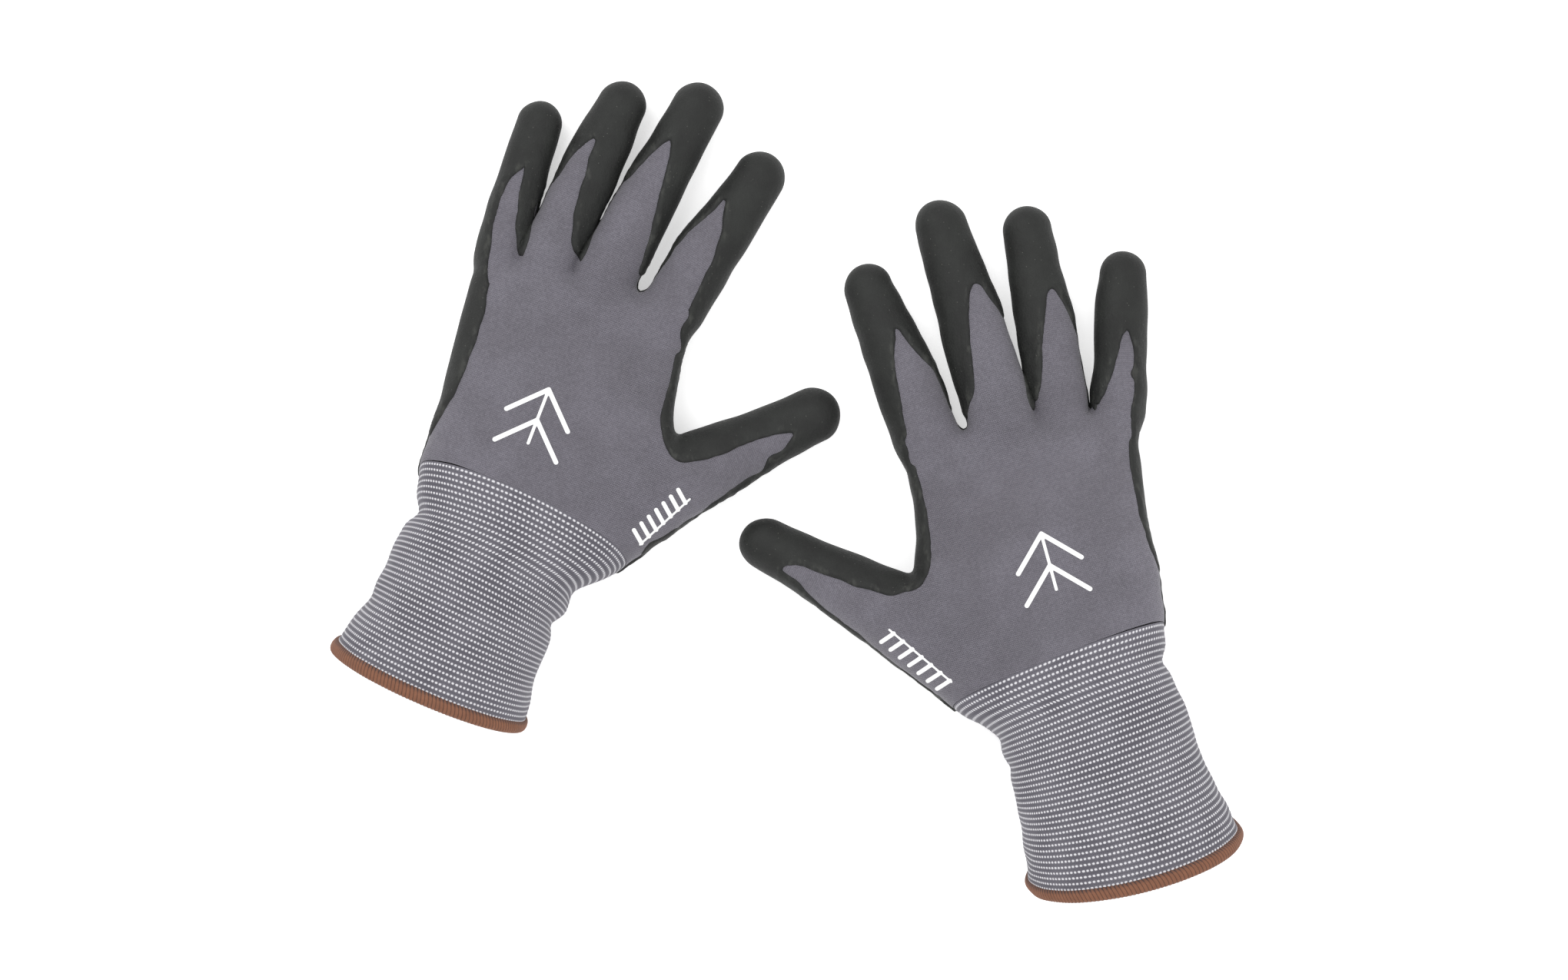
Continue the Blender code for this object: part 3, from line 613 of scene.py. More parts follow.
def make_mesh(name, glove, points, triangles, corners, material, sharp=None):
    """A mesh object from glove-frame points, with a texture place at each triangle corner."""
    mesh = bpy.data.meshes.new(name)
    mesh.vertices.add(len(points))
    rest = glove.world(points)
    mesh.vertices.foreach_set("co", rest.ravel().astype(np.float32))
    mesh.loops.add(triangles.size)
    mesh.loops.foreach_set("vertex_index", triangles.ravel().astype(np.int32))
    mesh.polygons.add(len(triangles))
    mesh.polygons.foreach_set("loop_start", np.arange(0, triangles.size, 3, dtype=np.int32))
    mesh.polygons.foreach_set("use_smooth", np.ones(len(triangles), bool))
    mesh.update(calc_edges=True)
    mesh.uv_layers.new(name="stitches").data.foreach_set("uv", corners.ravel().astype(np.float32))
    kept = mesh.attributes.new("rest", "FLOAT_VECTOR", "POINT")
    kept.data.foreach_set("vector", (rest / MM).ravel().astype(np.float32))
    if sharp is not None:
        mesh.set_sharp_from_angle(angle=sharp)
    mesh.materials.append(material)
    thing = bpy.data.objects.new(name, mesh)
    bpy.context.scene.collection.objects.link(thing)
    return thing


def paint(thing, name, values):
    kept = thing.data.attributes.new(name, "FLOAT", "POINT")
    kept.data.foreach_set("value", values.astype(np.float32))


def unwrap(corners, wrap):
    """Moves the corners of triangles that span the texture's seam to one side of it."""
    u = corners[..., 0]
    spans = (u.max(1) - u.min(1) > wrap / 2)[:, None]
    corners[..., 0] = np.where(spans & (u < wrap / 2), u + wrap, u)


def shell(name, glove, outer, inner, data, triangles, material, wrap=None):
    """A closed wall between two surfaces that share their triangles, with rims at open edges."""
    ends = np.vstack([triangles[:, [0, 1]], triangles[:, [1, 2]], triangles[:, [2, 0]]])
    key = ends[:, 0].astype(np.int64) * len(outer) + ends[:, 1]
    back = ends[:, 1].astype(np.int64) * len(outer) + ends[:, 0]
    open_ends = ends[~np.isin(key, back)]
    a, b = open_ends.T
    n = len(outer)
    rim = np.vstack([np.column_stack([b, a, a + n]), np.column_stack([b, a + n, b + n])])
    points = np.vstack([outer, inner])
    faces = np.vstack([triangles, triangles[:, ::-1] + n, rim])
    corners = np.vstack([data[:, 6:8]] * 2)[faces]
    if wrap:
        unwrap(corners, wrap)
    return make_mesh(name, glove, points, faces, corners, material, sharp=math.radians(50))


def liner_piece(name, glove, data, triangles, wrap=None):
    outer = data[:, :3]
    inner = outer - data[:, 3:6] * LINER
    inner[:, 2] = np.maximum(inner[:, 2], COAT + 0.2)
    thing = shell(name, glove, outer, inner, data, triangles, MATERIALS["knit"], wrap)
    paint(thing, "stretch", np.tile(data[:, 9], 2))
    return thing


def coat_piece(name, glove, data, triangles, wrap=None):
    """The foam over one stretch: rounded at its edge, and a little thicker along it."""
    for level in (0.0, 0.22, 0.55, LIP):
        data, triangles, _ = split(data, triangles, data[:, 8] - level, EDGE_SNAP)
        if level == 0.0:
            value = np.where(np.abs(data[:, 8]) < EDGE_SNAP, 0, data[:, 8])
            data, triangles = compact(data, triangles[value[triangles].sum(1) > 0])
    inside = np.where(data[:, 8] < EDGE_SNAP, 0, data[:, 8])
    across = np.clip(inside / LIP, 0, 1)
    swell = 0.28 * np.exp(-((inside - 1.6) / 1.5)**2) * (1 + 0.4 * glove.jitter(data[:, :3] * 0.8))
    thick = COAT * np.sqrt(1 - (1 - across)**2) + swell * across
    outer = data[:, :3] + data[:, 3:6] * thick[:, None]
    outer[:, 2] = np.maximum(outer[:, 2], 0.0)
    inner = data[:, :3] - data[:, 3:6] * COAT_SINK
    thing = shell(name, glove, outer, inner, data, triangles, MATERIALS["foam"], wrap)
    paint(thing, "depth", np.tile(inside, 2))
    return thing


def stretch_of(glove, p):
    total = np.zeros(len(p))
    for x, y, wide in glove.plan["stretch"]:
        total = np.maximum(total, np.exp(-(((p[:, 0] - x)**2 + (p[:, 1] - y)**2) / wide**2)))
    return total


def row_point(glove, xy, z=0.0):
    return glove.world(np.array([[xy[0], xy[1], z]]))[0]


def joint_points(glove, tube, station, reach, height):
    """The two points before and after a fold, at the given reach along the tube and the given height."""
    ends, _ = tube.at(np.array([station - reach, station + reach]))
    return [row_point(glove, end, height) for end in ends]


def tube_skin(glove, tube, start):
    """Rings of points along a finger or thumb, up to and over its tip."""
    neighbours = [other for other in glove.fingers.values() if other is not tube]
    over = np.linspace(0, math.pi / 2, 15)[1:]
    stations = np.concatenate([np.arange(start, tube.end, RING), [tube.end] * len(over)])
    tilt = np.concatenate([np.zeros(len(stations) - len(over)), over])
    angles = np.arange(ROUND) * math.tau / ROUND - math.pi / 2
    s, angle = np.repeat(stations, ROUND), np.tile(angles, len(stations))
    lean = np.repeat(tilt, ROUND)
    width = tube.width(s)
    middle, along = tube.at(s)
    side = np.column_stack([along[:, 1], -along[:, 0]])

    def at(radius):
        out, ahead = radius * np.cos(lean), radius * np.sin(lean)
        xy = middle + side * (out * np.cos(angle))[:, None] + along * ahead[:, None]
        return np.column_stack([xy, FLAT * width + FLAT * out * np.sin(angle)])

    radius = width - COAT
    p = at(radius)
    radius = radius + glove.bumps(p)
    p = at(radius)
    for other in neighbours if tube is not glove.thumb else ():
        high = radius.copy()
        low = np.full(len(radius), 2.0)
        for _ in range(12):
            mid = (low + high) / 2
            q = at(mid)
            clear = other.field(q) - tube.field(q) > FINGER_GAP
            low, high = np.where(clear, mid, low), np.where(clear, high, mid)
        q = at(radius)
        radius = np.where(other.field(q) - tube.field(q) > FINGER_GAP, radius, low)
        p = at(radius)
    p[:, 2] = np.maximum(p[:, 2], COAT)
    triangles = grid_triangles(len(stations), ROUND)[:, ::-1]
    wrap = math.tau * 11.0
    skin = Skin(p, triangles, (angle + math.pi / 2) / math.tau * wrap, s + lean * 9)
    # The last ring is one point: its triangles collapse and are dropped.
    last = len(p) - ROUND
    triangles = np.where(skin.triangles >= last, last, skin.triangles)
    whole = ((triangles[:, 0] != triangles[:, 1]) & (triangles[:, 1] != triangles[:, 2])
             & (triangles[:, 0] != triangles[:, 2]))
    skin.triangles = triangles[whole]
    skin.data[last, 3:6] = [*along[last], 0]
    return skin, wrap


def finish_skin(glove, skin):
    p = skin.data[:, :3]
    skin.add(glove.coated(p), stretch_of(glove, p))
    skin.data, skin.triangles = compact(skin.data, skin.triangles)
    return skin


# ---------------------------------------------------------------- materials

class Value:
    """A node's output, used in sums as if it were a number."""

    def __init__(self, nodes, socket):
        self.nodes, self.socket = nodes, socket

    def __add__(self, other):
        return self.nodes.math("ADD", self, other)

    def __sub__(self, other):
        return self.nodes.math("SUBTRACT", self, other)

    def __rsub__(self, other):
        return self.nodes.math("SUBTRACT", other, self)

    def __mul__(self, other):
        return self.nodes.math("MULTIPLY", self, other)

    def __truediv__(self, other):
        return self.nodes.math("DIVIDE", self, other)

    def __pow__(self, other):
        return self.nodes.math("POWER", self, other)

    def __abs__(self):
        return self.nodes.math("ABSOLUTE", self)


class Nodes:
    """Short calls for building a material's node tree."""

    def __init__(self, name):
        self.material = bpy.data.materials.new(name)
        self.material.use_nodes = True
        self.tree = self.material.node_tree
        self.shader = self.tree.nodes["Principled BSDF"]

    def join(self, value, socket):
        if isinstance(value, Value):
            self.tree.links.new(value.socket, socket)
        elif value is not None:
            socket.default_value = value

    def make(self, kind, inputs, output=0, **settings):
        """A node of one kind with its inputs joined by name or place, and its output."""
        node = self.tree.nodes.new("ShaderNode" + kind)
        for name, value in settings.items():
            setattr(node, name, value)
        for place, value in inputs.items():
            self.join(value, node.inputs[place])
        return Value(self, node.outputs[output])

    def math(self, operation, *values):
        return self.make("Math", dict(enumerate(values)), operation=operation)

    def scale(self, vector, factor):
        return self.make("VectorMath", {0: vector, 1: factor}, operation="MULTIPLY")

    def attribute(self, name, output="Fac"):
        return self.make("Attribute", {}, output, attribute_name=name)

    def place(self):
        """The texture place, split into its parts, and the place at rest in millimetres."""
        stitches = self.attribute("stitches", "Vector")
        parts = [self.make("SeparateXYZ", {0: stitches}, k) for k in range(2)]
        return parts, self.attribute("rest", "Vector")

    def noise(self, vector, scale, detail=2.0, roughness=0.5):
        return self.make("TexNoise", {"Vector": vector, "Scale": scale, "Detail": detail,
                                      "Roughness": roughness}, "Fac")

    def cells(self, vector, scale):
        return self.make("TexVoronoi", {"Vector": vector, "Scale": scale}, "Distance")

    def band(self, value, low, high, to_low=0.0, to_high=1.0):
        inputs = dict(enumerate((value, low, high, to_low, to_high)))
        return self.make("MapRange", inputs, interpolation_type="SMOOTHSTEP")

    def blend_colour(self, share, a, b):
        return self.make("Mix", {0: share, 6: a, 7: b}, 2, data_type="RGBA")

    def tint(self, base, share, *rgb):
        return self.blend_colour(share, base, colour(*rgb))

    def bump(self, height, strength, distance, below=None):
        return self.make("Bump", {"Height": height, "Strength": strength, "Distance": distance,
                                  "Normal": below})

    def fraction(self, value):
        return self.math("FRACT", value)

    def sine(self, value):
        return self.math("SINE", value)

    def finish(self, colour, roughness, normal, **constants):
        self.join(colour, self.shader.inputs["Base Color"])
        self.join(roughness, self.shader.inputs["Roughness"])
        self.join(normal, self.shader.inputs["Normal"])
        for name, value in constants.items():
            self.shader.inputs[name.replace("_", " ")].default_value = value
        return self.material


def colour(red, green, blue):
    """A colour given as screen values from 0 to 255, in linear light."""
    linear = [((c / 255 + 0.055) / 1.055)**2.4 if c > 10 else c / 255 / 12.92
              for c in (red, green, blue)]
    return (*linear, 1.0)


WALE, COURSE = 0.92, 0.74


def knit_material():
    """Plain knit: columns of small V stitches, thin dark gaps where it is stretched."""
    n = Nodes("nylon_knit")
    uv, rest = n.place()
    wobble = n.noise(rest, 0.35, 3)
    u = wobble * 0.9 + uv[0] / WALE
    v = wobble * 0.7 + uv[1] / COURSE
    across = abs(n.fraction(u) - 0.5) * 2.0
    leg = 1.0 - abs(across * 2.0 - 1.0)**2.0
    along = n.sine(n.fraction(across * 0.55 + v) * math.pi)
    height = n.band(leg, 0.0, 1.0, 0.35, 1.0) * n.band(along, 0.0, 0.8, 0.3, 1.0)
    fuzz = n.noise(rest, 2.6, 4, 0.7)
    patchy = n.noise(rest, 0.045, 3, 0.6)
    open_knit = n.attribute("stretch") * 0.8 + 0.2
    holes = n.band(height, 0.5, 0.22) * open_knit * n.band(fuzz, 0.30, 0.50)
    base = n.blend_colour(n.band(patchy, 0.35, 0.65), colour(112, 109, 117), colour(121, 118, 127))
    mottle = n.noise(rest, 0.9, 3, 0.75)
    base = n.tint(base, n.band(mottle, 0.62, 0.36, 0.0, 0.30), 70, 68, 75)
    base = n.tint(base, n.band(height, 0.15, 0.85, 0.55, 0.0), 58, 56, 62)
    base = n.tint(base, n.band(fuzz, 0.52, 0.72, 0.0, 0.40), 158, 155, 164)
    base = n.tint(base, holes * 0.9, 30, 29, 33)
    rough = n.band(fuzz, 0.3, 0.7, 0.78, 0.92)
    normal = n.bump(fuzz, 0.25, 0.00012)
    normal = n.bump(height, 0.55, 0.00022, normal)
    return n.finish(base, rough, normal, Sheen_Weight=0.18, Sheen_Roughness=0.5, Specular_IOR_Level=0.25)


def foam_material():
    """Foamed nitrile: near black, fine grained and pitted, with a painted highlight a little paler along
    its raised edge.
    """
    n = Nodes("foam_nitrile")
    rest = n.attribute("rest", "Vector")
    grain = n.noise(rest, 2.4, 4, 0.65)
    pits = n.cells(rest, 1.15)
    folds = n.noise(n.scale(rest, (1.0, 0.45, 1.0)), 0.32, 4, 0.6)
    specks = n.cells(rest, 0.42)
    depth = n.attribute("depth")
    patchy = n.noise(rest, 0.08, 3, 0.6)
    base = n.blend_colour(n.band(patchy, 0.35, 0.7), colour(18, 19, 18), colour(27, 29, 27))
    base = n.tint(base, n.band(grain, 0.45, 0.75, 0.0, 0.3), 66, 68, 64)
    base = n.tint(base, n.band(specks, 0.10, 0.03, 0.0, 0.4), 120, 120, 114)
    base = n.tint(base, n.band(depth, 0.5, 0.0, 0.0, 0.55), 30, 31, 30)
    # Painted highlight: paler along the raised bead near the coating's edge, where the folds are high.
    painted_edge_highlight = n.band(depth, 3.4, 1.2) * n.band(folds, 0.5, 0.68)
    base = n.tint(base, painted_edge_highlight * 0.25, 84, 85, 80)
    rough = n.band(grain, 0.3, 0.7, 0.55, 0.78)
    normal = n.bump(folds, 0.5, 0.0007)
    normal = n.bump(pits, 0.35, 0.00018, normal)
    normal = n.bump(grain, 0.5, 0.00016, normal)
    return n.finish(base, rough, normal, Specular_IOR_Level=0.42)


def rib_material():
    """Ribbed cuff: grey knit with a row of white elastic stitches on every rib."""
    n = Nodes("rib_knit")
    uv, rest = n.place()
    fuzz = n.noise(rest, 2.8, 4, 0.7)
    patchy = n.noise(rest, 0.05, 3, 0.6)
    row = n.math("FLOOR", uv[1])
    high = (n.fraction(uv[1]) - 0.5) * 2.0
    shift = n.noise(rest, 0.3, 2) * 0.5 + (n.fraction(row * 0.37) * 0.5 + uv[0])
    wide = (n.fraction(shift) - 0.5) * 2.0
    reach = n.math("SQRT", (wide / 0.74)**2.0 + (high / 0.44)**2.0)
    dot = n.band(fuzz * 0.35 + reach, 1.35, 0.75)
    strand = n.sine(n.fraction(abs(high) * 0.8 + uv[0] * 2.0) * math.pi)
    base = n.blend_colour(n.band(patchy, 0.35, 0.65), colour(92, 90, 98), colour(106, 104, 112))
    base = n.tint(base, n.band(strand, 0.0, 0.7, 0.35, 0.0), 64, 62, 69)
    base = n.tint(base, n.band(abs(high), 0.72, 1.0, 0.0, 0.42), 66, 64, 71)
    base = n.tint(base, dot * 0.85, 222, 221, 225)
    normal = n.bump(fuzz, 0.25, 0.00014)
    normal = n.bump(strand, 0.3, 0.00018, normal)
    normal = n.bump(dot, 0.5, 0.0003, normal)
    return n.finish(base, n.band(fuzz, 0.3, 0.7, 0.75, 0.9), normal,
                    Sheen_Weight=0.15, Sheen_Roughness=0.5, Specular_IOR_Level=0.25)


def hem_material():
    """Brown overlock thread, darker between the threads and along its inner row."""
    n = Nodes("overlock_thread")
    uv, rest = n.place()
    fuzz = n.noise(rest, 3.2, 4, 0.7)
    thread = n.sine(n.fraction(uv[0]) * math.pi)
    fibre = n.sine(uv[1] * 34.0 + uv[0] * 28.0)
    base = n.blend_colour(n.noise(rest, 0.3, 3), colour(106, 68, 50), colour(136, 90, 66))
    base = n.tint(base, n.band(thread, 0.05, 0.6, 0.75, 0.0), 58, 36, 28)
    base = n.tint(base, n.band(fuzz, 0.5, 0.7, 0.0, 0.25), 168, 122, 96)
    inner = n.attribute("loops") * n.band(thread, 0.9, 0.3, 0.35, 0.9)
    base = n.tint(base, inner, 56, 44, 44)
    normal = n.bump(fuzz, 0.3, 0.00014)
    normal = n.bump(fibre, 0.15, 0.0001, normal)
    return n.finish(base, 0.72, normal, Sheen_Weight=0.1, Specular_IOR_Level=0.35)


def ink_material():
    """White print that follows the stitches under it."""
    n = Nodes("print_ink")
    uv, rest = n.place()
    grain = n.noise(rest, 2.2, 4, 0.7)
    stitch = n.sine(uv[0] * (math.tau / WALE)) * n.sine(uv[1] * (math.tau / COURSE))
    worn = n.band(grain, 0.55, 0.75, 0.0, 0.35)
    base = n.blend_colour(worn, colour(240, 240, 240), colour(198, 197, 201))
    normal = n.bump(stitch, 0.35, 0.00012)
    return n.finish(base, 0.5, normal, Specular_IOR_Level=0.4)


MATERIALS = {"knit": knit_material(), "foam": foam_material(), "rib": rib_material(),
             "hem": hem_material(), "ink": ink_material()}


# ---------------------------------------------------------------- pieces of a glove

def make_hand(glove):
    """The hand from the junction to the crotches, with the root of the thumb."""
    side = glove.side
    past_wrist = glove.plan["sections"][5:]
    low_x = min(middle - half for _, middle, half, _ in past_wrist) - 3
    high_x = max(middle + half for _, middle, half, _ in past_wrist) + 3
    thumb_x = glove.joint("thumb_base_fold")[0]
    low_x, high_x = min(low_x, thumb_x - 22), max(high_x, thumb_x + 22)
    junction = glove.plan["junction"]
    low_y = junction[0] - abs(junction[1]) - junction[2] - 8
    high_y = max(glove.crotch(low_x), glove.crotch(high_x)) + CROTCH_PAST + 4
    points, triangles = surface_net(glove.field, (low_x, low_y, -1.5), (high_x, high_y, 42), GRID)
    points = settle(points, triangles, glove.field)
    skin = finish_skin(glove, Skin(points, triangles, points[:, 0], points[:, 1]))
    past = glove.knuckle_end(skin.data[:, :3]) - CROTCH_PAST
    data, triangles = keep_side(skin.data, skin.triangles, -past)
    p = data[:, :3]
    station, _ = glove.thumb.measure(p[:, :2])
    others = np.minimum.reduce([glove.slab(p)] + glove.finger_fields(p))
    past = np.minimum(station - THUMB_BACK - THUMB_CUT, (others - glove.thumb.field(p)) * 4)
    data, triangles = keep_side(data, triangles, -past)
    data, triangles = keep_side(data, triangles, glove.past_junction(data[:, :3]))
    data, triangles = biggest_part(data, triangles)
    knuckle = glove.joint("knuckle_fold")
    start, end = (row_point(glove, knuckle + np.array([0, k * KNUCKLE_REACH]), 12.0) for k in (-1, 1))
    knit = liner_piece(f"{side}_hand_knit", glove, data, triangles)
    foam = coat_piece(f"{side}_hand_foam", glove, data, triangles)
    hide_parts(f"{side}_hand_liner", f"{side}_knuckle_liner")
    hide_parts(f"{side}_palm_coating", f"{side}_knuckle_coating")
    for piece in (knit, foam):
        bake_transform(piece)
    return data, triangles


def biggest_part(data, triangles):
    """The largest connected part of a mesh."""
    label = np.arange(len(data))
    while True:
        low = label[triangles].min(1)
        before = label.copy()
        for k in range(3):
            np.minimum.at(label, triangles[:, k], low)
        label = label[label]
        if (label == before).all():
            break
    names, counts = np.unique(label[triangles[:, 0]], return_counts=True)
    return compact(data, triangles[label[triangles[:, 0]] == names[counts.argmax()]])


def make_digit(glove, name):
    """A finger's or the thumb's two stretches, each a knitted tube with foam over it."""
    side, thumb = glove.side, name == "thumb"
    tube = glove.thumb if thumb else glove.fingers[name]
    first, last = tube.stations[1], tube.stations[2]
    start = THUMB_BACK if thumb else 0.0
    skin, wrap = tube_skin(glove, tube, start)
    finish_skin(glove, skin)
    p = skin.data[:, :3]
    if thumb:
        begin = tube.measure(p[:, :2])[0] - THUMB_BACK - THUMB_CUT
        cut = first + THUMB_CUT + 14.5
        reaches = ((first + THUMB_CUT + 7, 7.0), (last, THUMB_REACH))
        parts = ("base", "tip")
    else:
        begin = glove.knuckle_end(p) - CROTCH_PAST
        cut = first + PIECE_CUT
        reaches = ((first, MID_REACH), (last, TIP_REACH))
        parts = ("mid", "tip")
    data, triangles = keep_side(skin.data, skin.triangles, begin)
    past = tube.measure(data[:, :2])[0] - cut
    for i, part in enumerate(parts):
        piece, faces = keep_side(data, triangles, past if i else -past)
        station, reach = reaches[i]
        ends = joint_points(glove, tube, station, reach, 9.0)
        for kind, make in (("knit", liner_piece), ("foam", coat_piece)):
            thing = make(f"{side}_{name}_{part}_{kind}", glove, piece, faces, wrap)
            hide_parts(f"{side}_{name}_{part}_{'liner' if kind == 'knit' else 'coating'}")
            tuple(ends[0])
            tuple(ends[1])
            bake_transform(thing)


def cuff_point(glove, y, angle, grow):
    """A point of the cuff's surface at a station, turned round its middle from +X up."""
    middle, half, height, square = glove.section(y)
    c, s = np.cos(angle), np.sin(angle)
    half, height = half + grow, height + grow
    size = (np.abs(c)**square + np.abs(s)**square)**(-1 / square)
    return np.column_stack([middle + half * size * c, y, np.maximum(height - grow + height * size * s, 0)])


def cuff_ring(glove, share, angle, grow):
    """The cuff's surface, from the junction at share 0 to the hem at share 1."""
    c, s = np.cos(angle), np.sin(angle)
    stations = []
    for name in ("junction", "hem"):
        along, slope, rise = glove.plan[name]
        stations.append(along + slope * c + rise * s)
    y = stations[0] * (1 - share) + stations[1] * share
    worn = glove.small(cuff_point(glove, y, angle, 0.0)) * 0.22
    return cuff_point(glove, y, angle, grow + worn - glove.crease(y, angle))


def make_cuff(glove):
    """The ribbed cuff: one ridge for each knitted row."""
    side = glove.side
    per_row, columns = 5, 240
    rows = ROWS * per_row + 1
    share = np.repeat(np.linspace(0, 1, rows), columns)
    angle = np.tile(np.arange(columns) * math.tau / columns - math.pi / 2, rows)
    ridge = RIB_HIGH * np.abs(np.sin(share * ROWS * math.pi))**0.8
    outer = cuff_ring(glove, share, angle, ridge - RIB_SUNK)
    inner = cuff_ring(glove, share, angle, np.full(len(share), -RIB))
    inner[:, 2] = np.maximum(inner[:, 2], RIB)
    triangles = grid_triangles(rows, columns)
    data = np.zeros((len(outer), 8))
    data[:, 6] = (angle + math.pi / 2) / math.tau * DOTS
    data[:, 7] = share * ROWS
    thing = shell(f"{side}_rib_cuff", glove, outer, inner, data, triangles, MATERIALS["rib"], DOTS)
    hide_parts(f"{side}_cuff_upper", f"{side}_cuff_lower")
    start, end = (row_point(glove, (0.0, k * WRIST_REACH), 18.9) for k in (1, -1))
    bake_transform(thing)


def make_hem(glove):
    """The overlocked hem: a rounded band of slanted threads round the cuff's end."""
    side = glove.side
    columns, section = STITCHES * 8, 22
    turn = np.repeat(np.arange(section) * math.tau / section, columns)
    angle = np.tile(np.arange(columns) * math.tau / columns - math.pi / 2, section)
    count = (angle + math.pi / 2) / math.tau * STITCHES
    slant = count + 0.35 * np.sin(turn) + 0.5 * np.cos(turn)
    thread = np.abs(np.sin(slant * math.pi))**0.7
    swell = 1 + 0.10 * (thread - 0.6)
    over = HEM_HEIGHT / 2 * np.cos(turn) * swell
    out = HEM_HALF * np.sign(np.sin(turn)) * np.abs(np.sin(turn))**0.8 * swell
    length = glove.plan["junction"][0] - glove.plan["hem"][0]
    share = 1 + (HEM_HEIGHT / 2 - 0.8 + over) / length
    points = cuff_ring(glove, share, angle, out - RIB / 2 + 0.4)
    points[:, 2] = np.maximum(points[:, 2], 0)
    wrapped = np.vstack([grid_triangles(section, columns), join_rows(section, columns)])[:, ::-1]
    data = np.zeros((len(points), 8))
    data[:, 6], data[:, 7] = slant % STITCHES, turn
    corners = data[:, 6:8][wrapped]
    unwrap(corners, STITCHES)
    thing = make_mesh(f"{side}_hem", glove, points, wrapped, corners, MATERIALS["hem"])
    paint(thing, "loops", smooth_step(-np.cos(turn), 0.35, 0.85) * (np.sin(turn) > -0.2))
    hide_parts(f"{side}_cuff_hem")
    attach(thing, f"{side}_cuff")


def join_rows(rows, columns):
    """The triangles that join a grid's last row to its first."""
    j = np.arange(columns)
    a, b = (rows - 1) * columns + j, (rows - 1) * columns + (j + 1) % columns
    c, d = j, (j + 1) % columns
    return np.vstack([np.column_stack([a, b, d]), np.column_stack([a, d, c])])


def chevrons(centre):
    """Two nested chevrons on a spine, as strokes of (start, end, width)."""
    along = np.array([0.0, 1.0])
    across = np.array([1.0, 0.0])
    strokes = []
    for shift in (MARK_DEPTH / 2, -MARK_DEPTH / 2):
        point = centre + along * (shift + MARK_DEPTH / 2)
        for sign in (-1, 1):
            foot = centre + along * (shift - MARK_DEPTH / 2) + across * MARK_HALF * sign
            strokes.append((foot, point, MARK_STROKE))
    strokes.append((centre - along * MARK_DEPTH * 0.75, centre + along * MARK_DEPTH, MARK_STROKE * 0.67))
    return strokes


def bars(start, end):
    """A thin rule with a row of slanted bars, as strokes of (start, end, width)."""
    start, end = np.array(start, float), np.array(end, float)
    length = np.linalg.norm(end - start)
    along = (end - start) / length
    aside = np.array([-along[1], along[0]])
    low = -aside * BAR_HEIGHT / 2
    strokes = [(start + low, end + low, RULE)]
    for i in range(BARS):
        foot = start + low + along * (length - BAR_WIDTH - BAR_SLANT) / (BARS - 1) * i
        foot = foot + along * BAR_WIDTH / 2
        strokes.append((foot, foot + along * BAR_SLANT + aside * BAR_HEIGHT, BAR_WIDTH))
    return strokes


def make_mark(glove, name, strokes, tree, replaced):
    """A print: where any stroke covers the back, a thin skin of ink."""
    ends = np.array([point for stroke in strokes for point in stroke[:2]])
    low, high = ends.min(0) - 3, ends.max(0) + 3
    nx, ny = (int(round((b - a) / PRINT_STEP)) + 1 for a, b in zip(low, high))
    sides = np.linspace(low[0], high[0], nx), np.linspace(low[1], high[1], ny)
    x, y = np.meshgrid(*sides, indexing="ij")
    xy = np.column_stack([x.ravel(), y.ravel()])
    reach = np.full(len(xy), -1e9)
    for a, b, width in strokes:
        a, b = np.asarray(a), np.asarray(b)
        share = np.clip((xy - a) @ (b - a) / ((b - a) @ (b - a)), 0, 1)
        away = np.linalg.norm(xy - a - share[:, None] * (b - a), axis=1)
        reach = np.maximum(reach, width / 2 - away)
    hits = [tree.ray_cast((px, py, 80.0), (0, 0, -1))[0] for px, py in xy]
    z = np.array([hit.z if hit else 0.0 for hit in hits])
    reach = np.where([hit is None for hit in hits], -1.0, reach)
    data = np.column_stack([xy, z, np.zeros((len(xy), 2)), np.ones(len(xy)), xy])
    triangles = grid_triangles(nx, ny, closed=False)[:, ::-1]
    data, triangles = keep_side(data, triangles, reach, 0.03)
    outer, inner = data[:, :3] + [0, 0, INK_HIGH], data[:, :3] - [0, 0, INK_LOW]
    thing = shell(f"{glove.side}_{name}", glove, outer, inner, data, triangles, MATERIALS["ink"])
    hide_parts(f"{glove.side}_{replaced}")
    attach(thing, f"{glove.side}_hand")


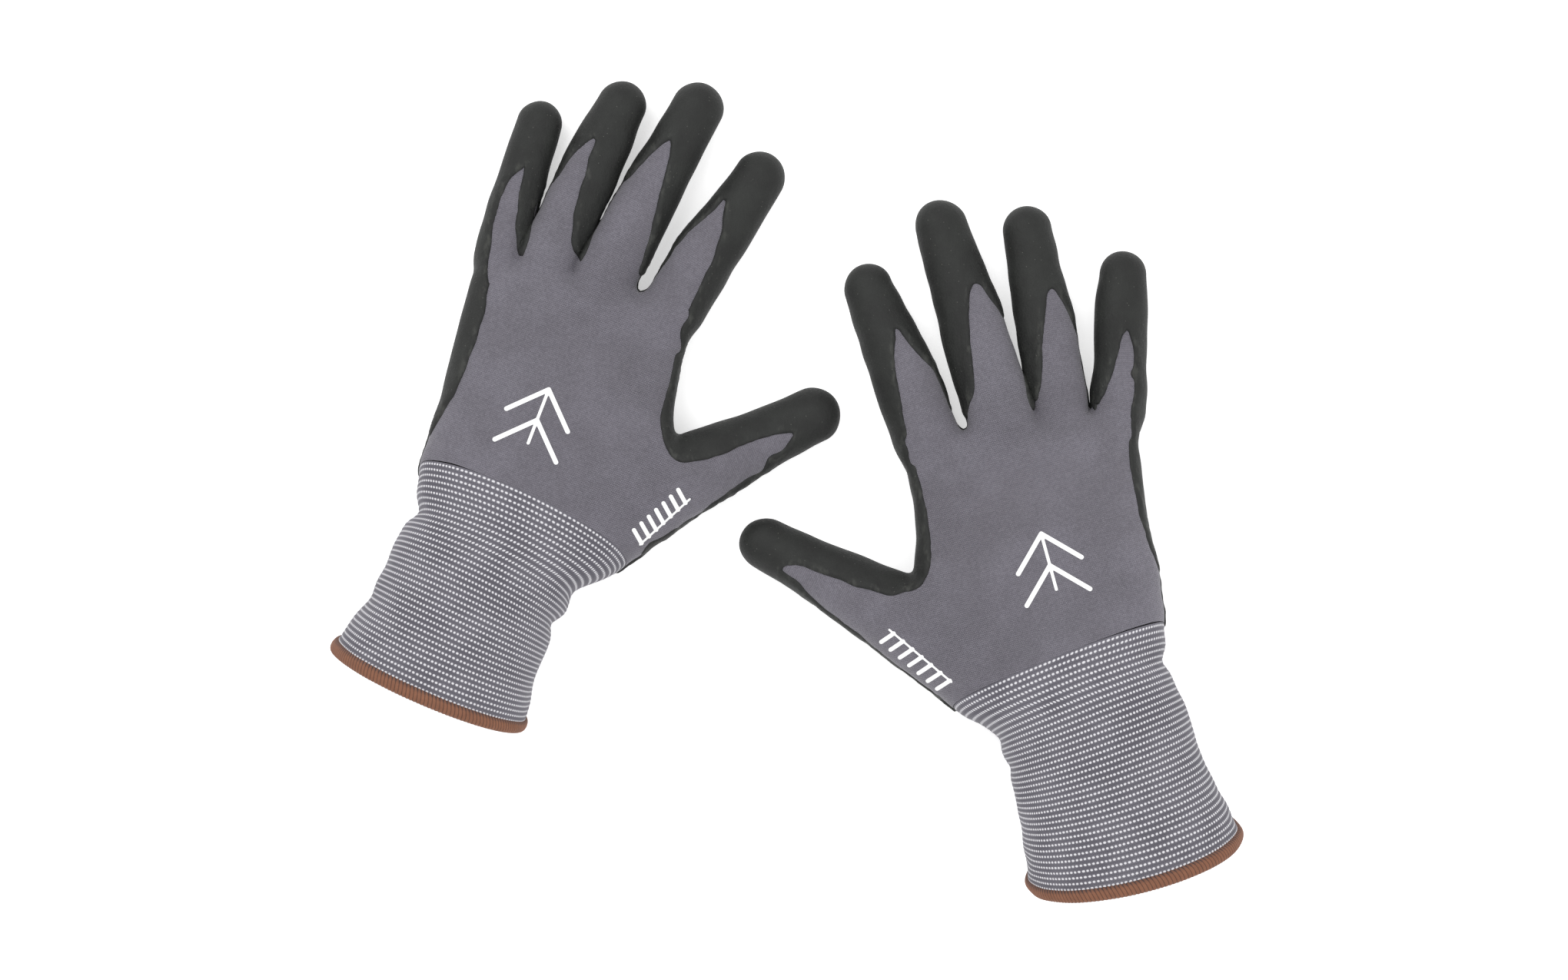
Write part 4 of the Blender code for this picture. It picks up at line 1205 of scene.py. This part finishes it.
def make_glove(side):
    glove = Glove(side)
    data, triangles = make_hand(glove)
    for name in FINGERS + ("thumb",):
        make_digit(glove, name)
    make_cuff(glove)
    make_hem(glove)
    tree = BVHTree.FromPolygons(data[:, :3].tolist(), triangles.tolist())
    centre, start, end = glove.plan["marks"]
    make_mark(glove, "back_mark", chevrons(np.array(centre)), tree, "back_print")
    if side == "right":
        start, end = end, start
    make_mark(glove, "side_mark", bars(start, end), tree, "side_print")


# ---------------------------------------------------------------- floor, light and camera

def make_floor():
    mesh = bpy.data.meshes.new("floor")
    mesh.from_pydata([(-4, -4, 0), (4, -4, 0), (4, 4, 0), (-4, 4, 0)], [], [(0, 1, 2, 3)])
    n = Nodes("pale_floor")
    n.finish(colour(250, 250, 250), 0.9, None, Specular_IOR_Level=0.1,
             Emission_Color=(1, 1, 1, 1), Emission_Strength=0.45)
    mesh.materials.append(n.material)
    floor = bpy.data.objects.new("floor", mesh)
    floor.location.z = -0.0002
    bpy.context.scene.collection.objects.link(floor)


def make_light(name, place, size, power):
    light = bpy.data.lights.new(name, "AREA")
    light.size, light.energy = size, power
    lamp = bpy.data.objects.new(name, light)
    lamp.location = place
    lamp.rotation_mode = "QUATERNION"
    lamp.rotation_quaternion = (-Vector(place)).to_track_quat("-Z", "Y")
    bpy.context.scene.collection.objects.link(lamp)


def make_world(strength):
    world = bpy.data.worlds.new("studio")
    world.use_nodes = True
    sky = world.node_tree.nodes["Background"]
    sky.inputs["Color"].default_value = (1, 1, 1, 1)
    sky.inputs["Strength"].default_value = strength
    bpy.context.scene.world = world


def make_camera():
    low, high = CAD_BOX
    camera = bpy.data.cameras.new("camera")
    view = bpy.data.objects.new("camera", camera)
    view.location = ((low.x + high.x) / 2 + 0.0005, (low.y + high.y) / 2 - 0.0027, CAMERA_HEIGHT)
    camera.sensor_width = 36.0
    camera.lens = camera.sensor_width * (CAMERA_HEIGHT - FRAME_LEVEL) / FRAME_WIDTH
    camera.clip_start, camera.clip_end = 0.1, 20
    bpy.context.scene.collection.objects.link(view)
    bpy.context.scene.camera = view


for glove_side in GLOVES:
    make_glove(glove_side)
make_floor()
make_world(SKY)
make_light("key", (-0.7, 0.9, 1.7), 1.1, KEY_POWER)
make_light("fill", (0.9, -0.5, 1.5), 1.4, FILL_POWER)
make_camera()
bpy.context.scene.view_settings.view_transform = "Standard"
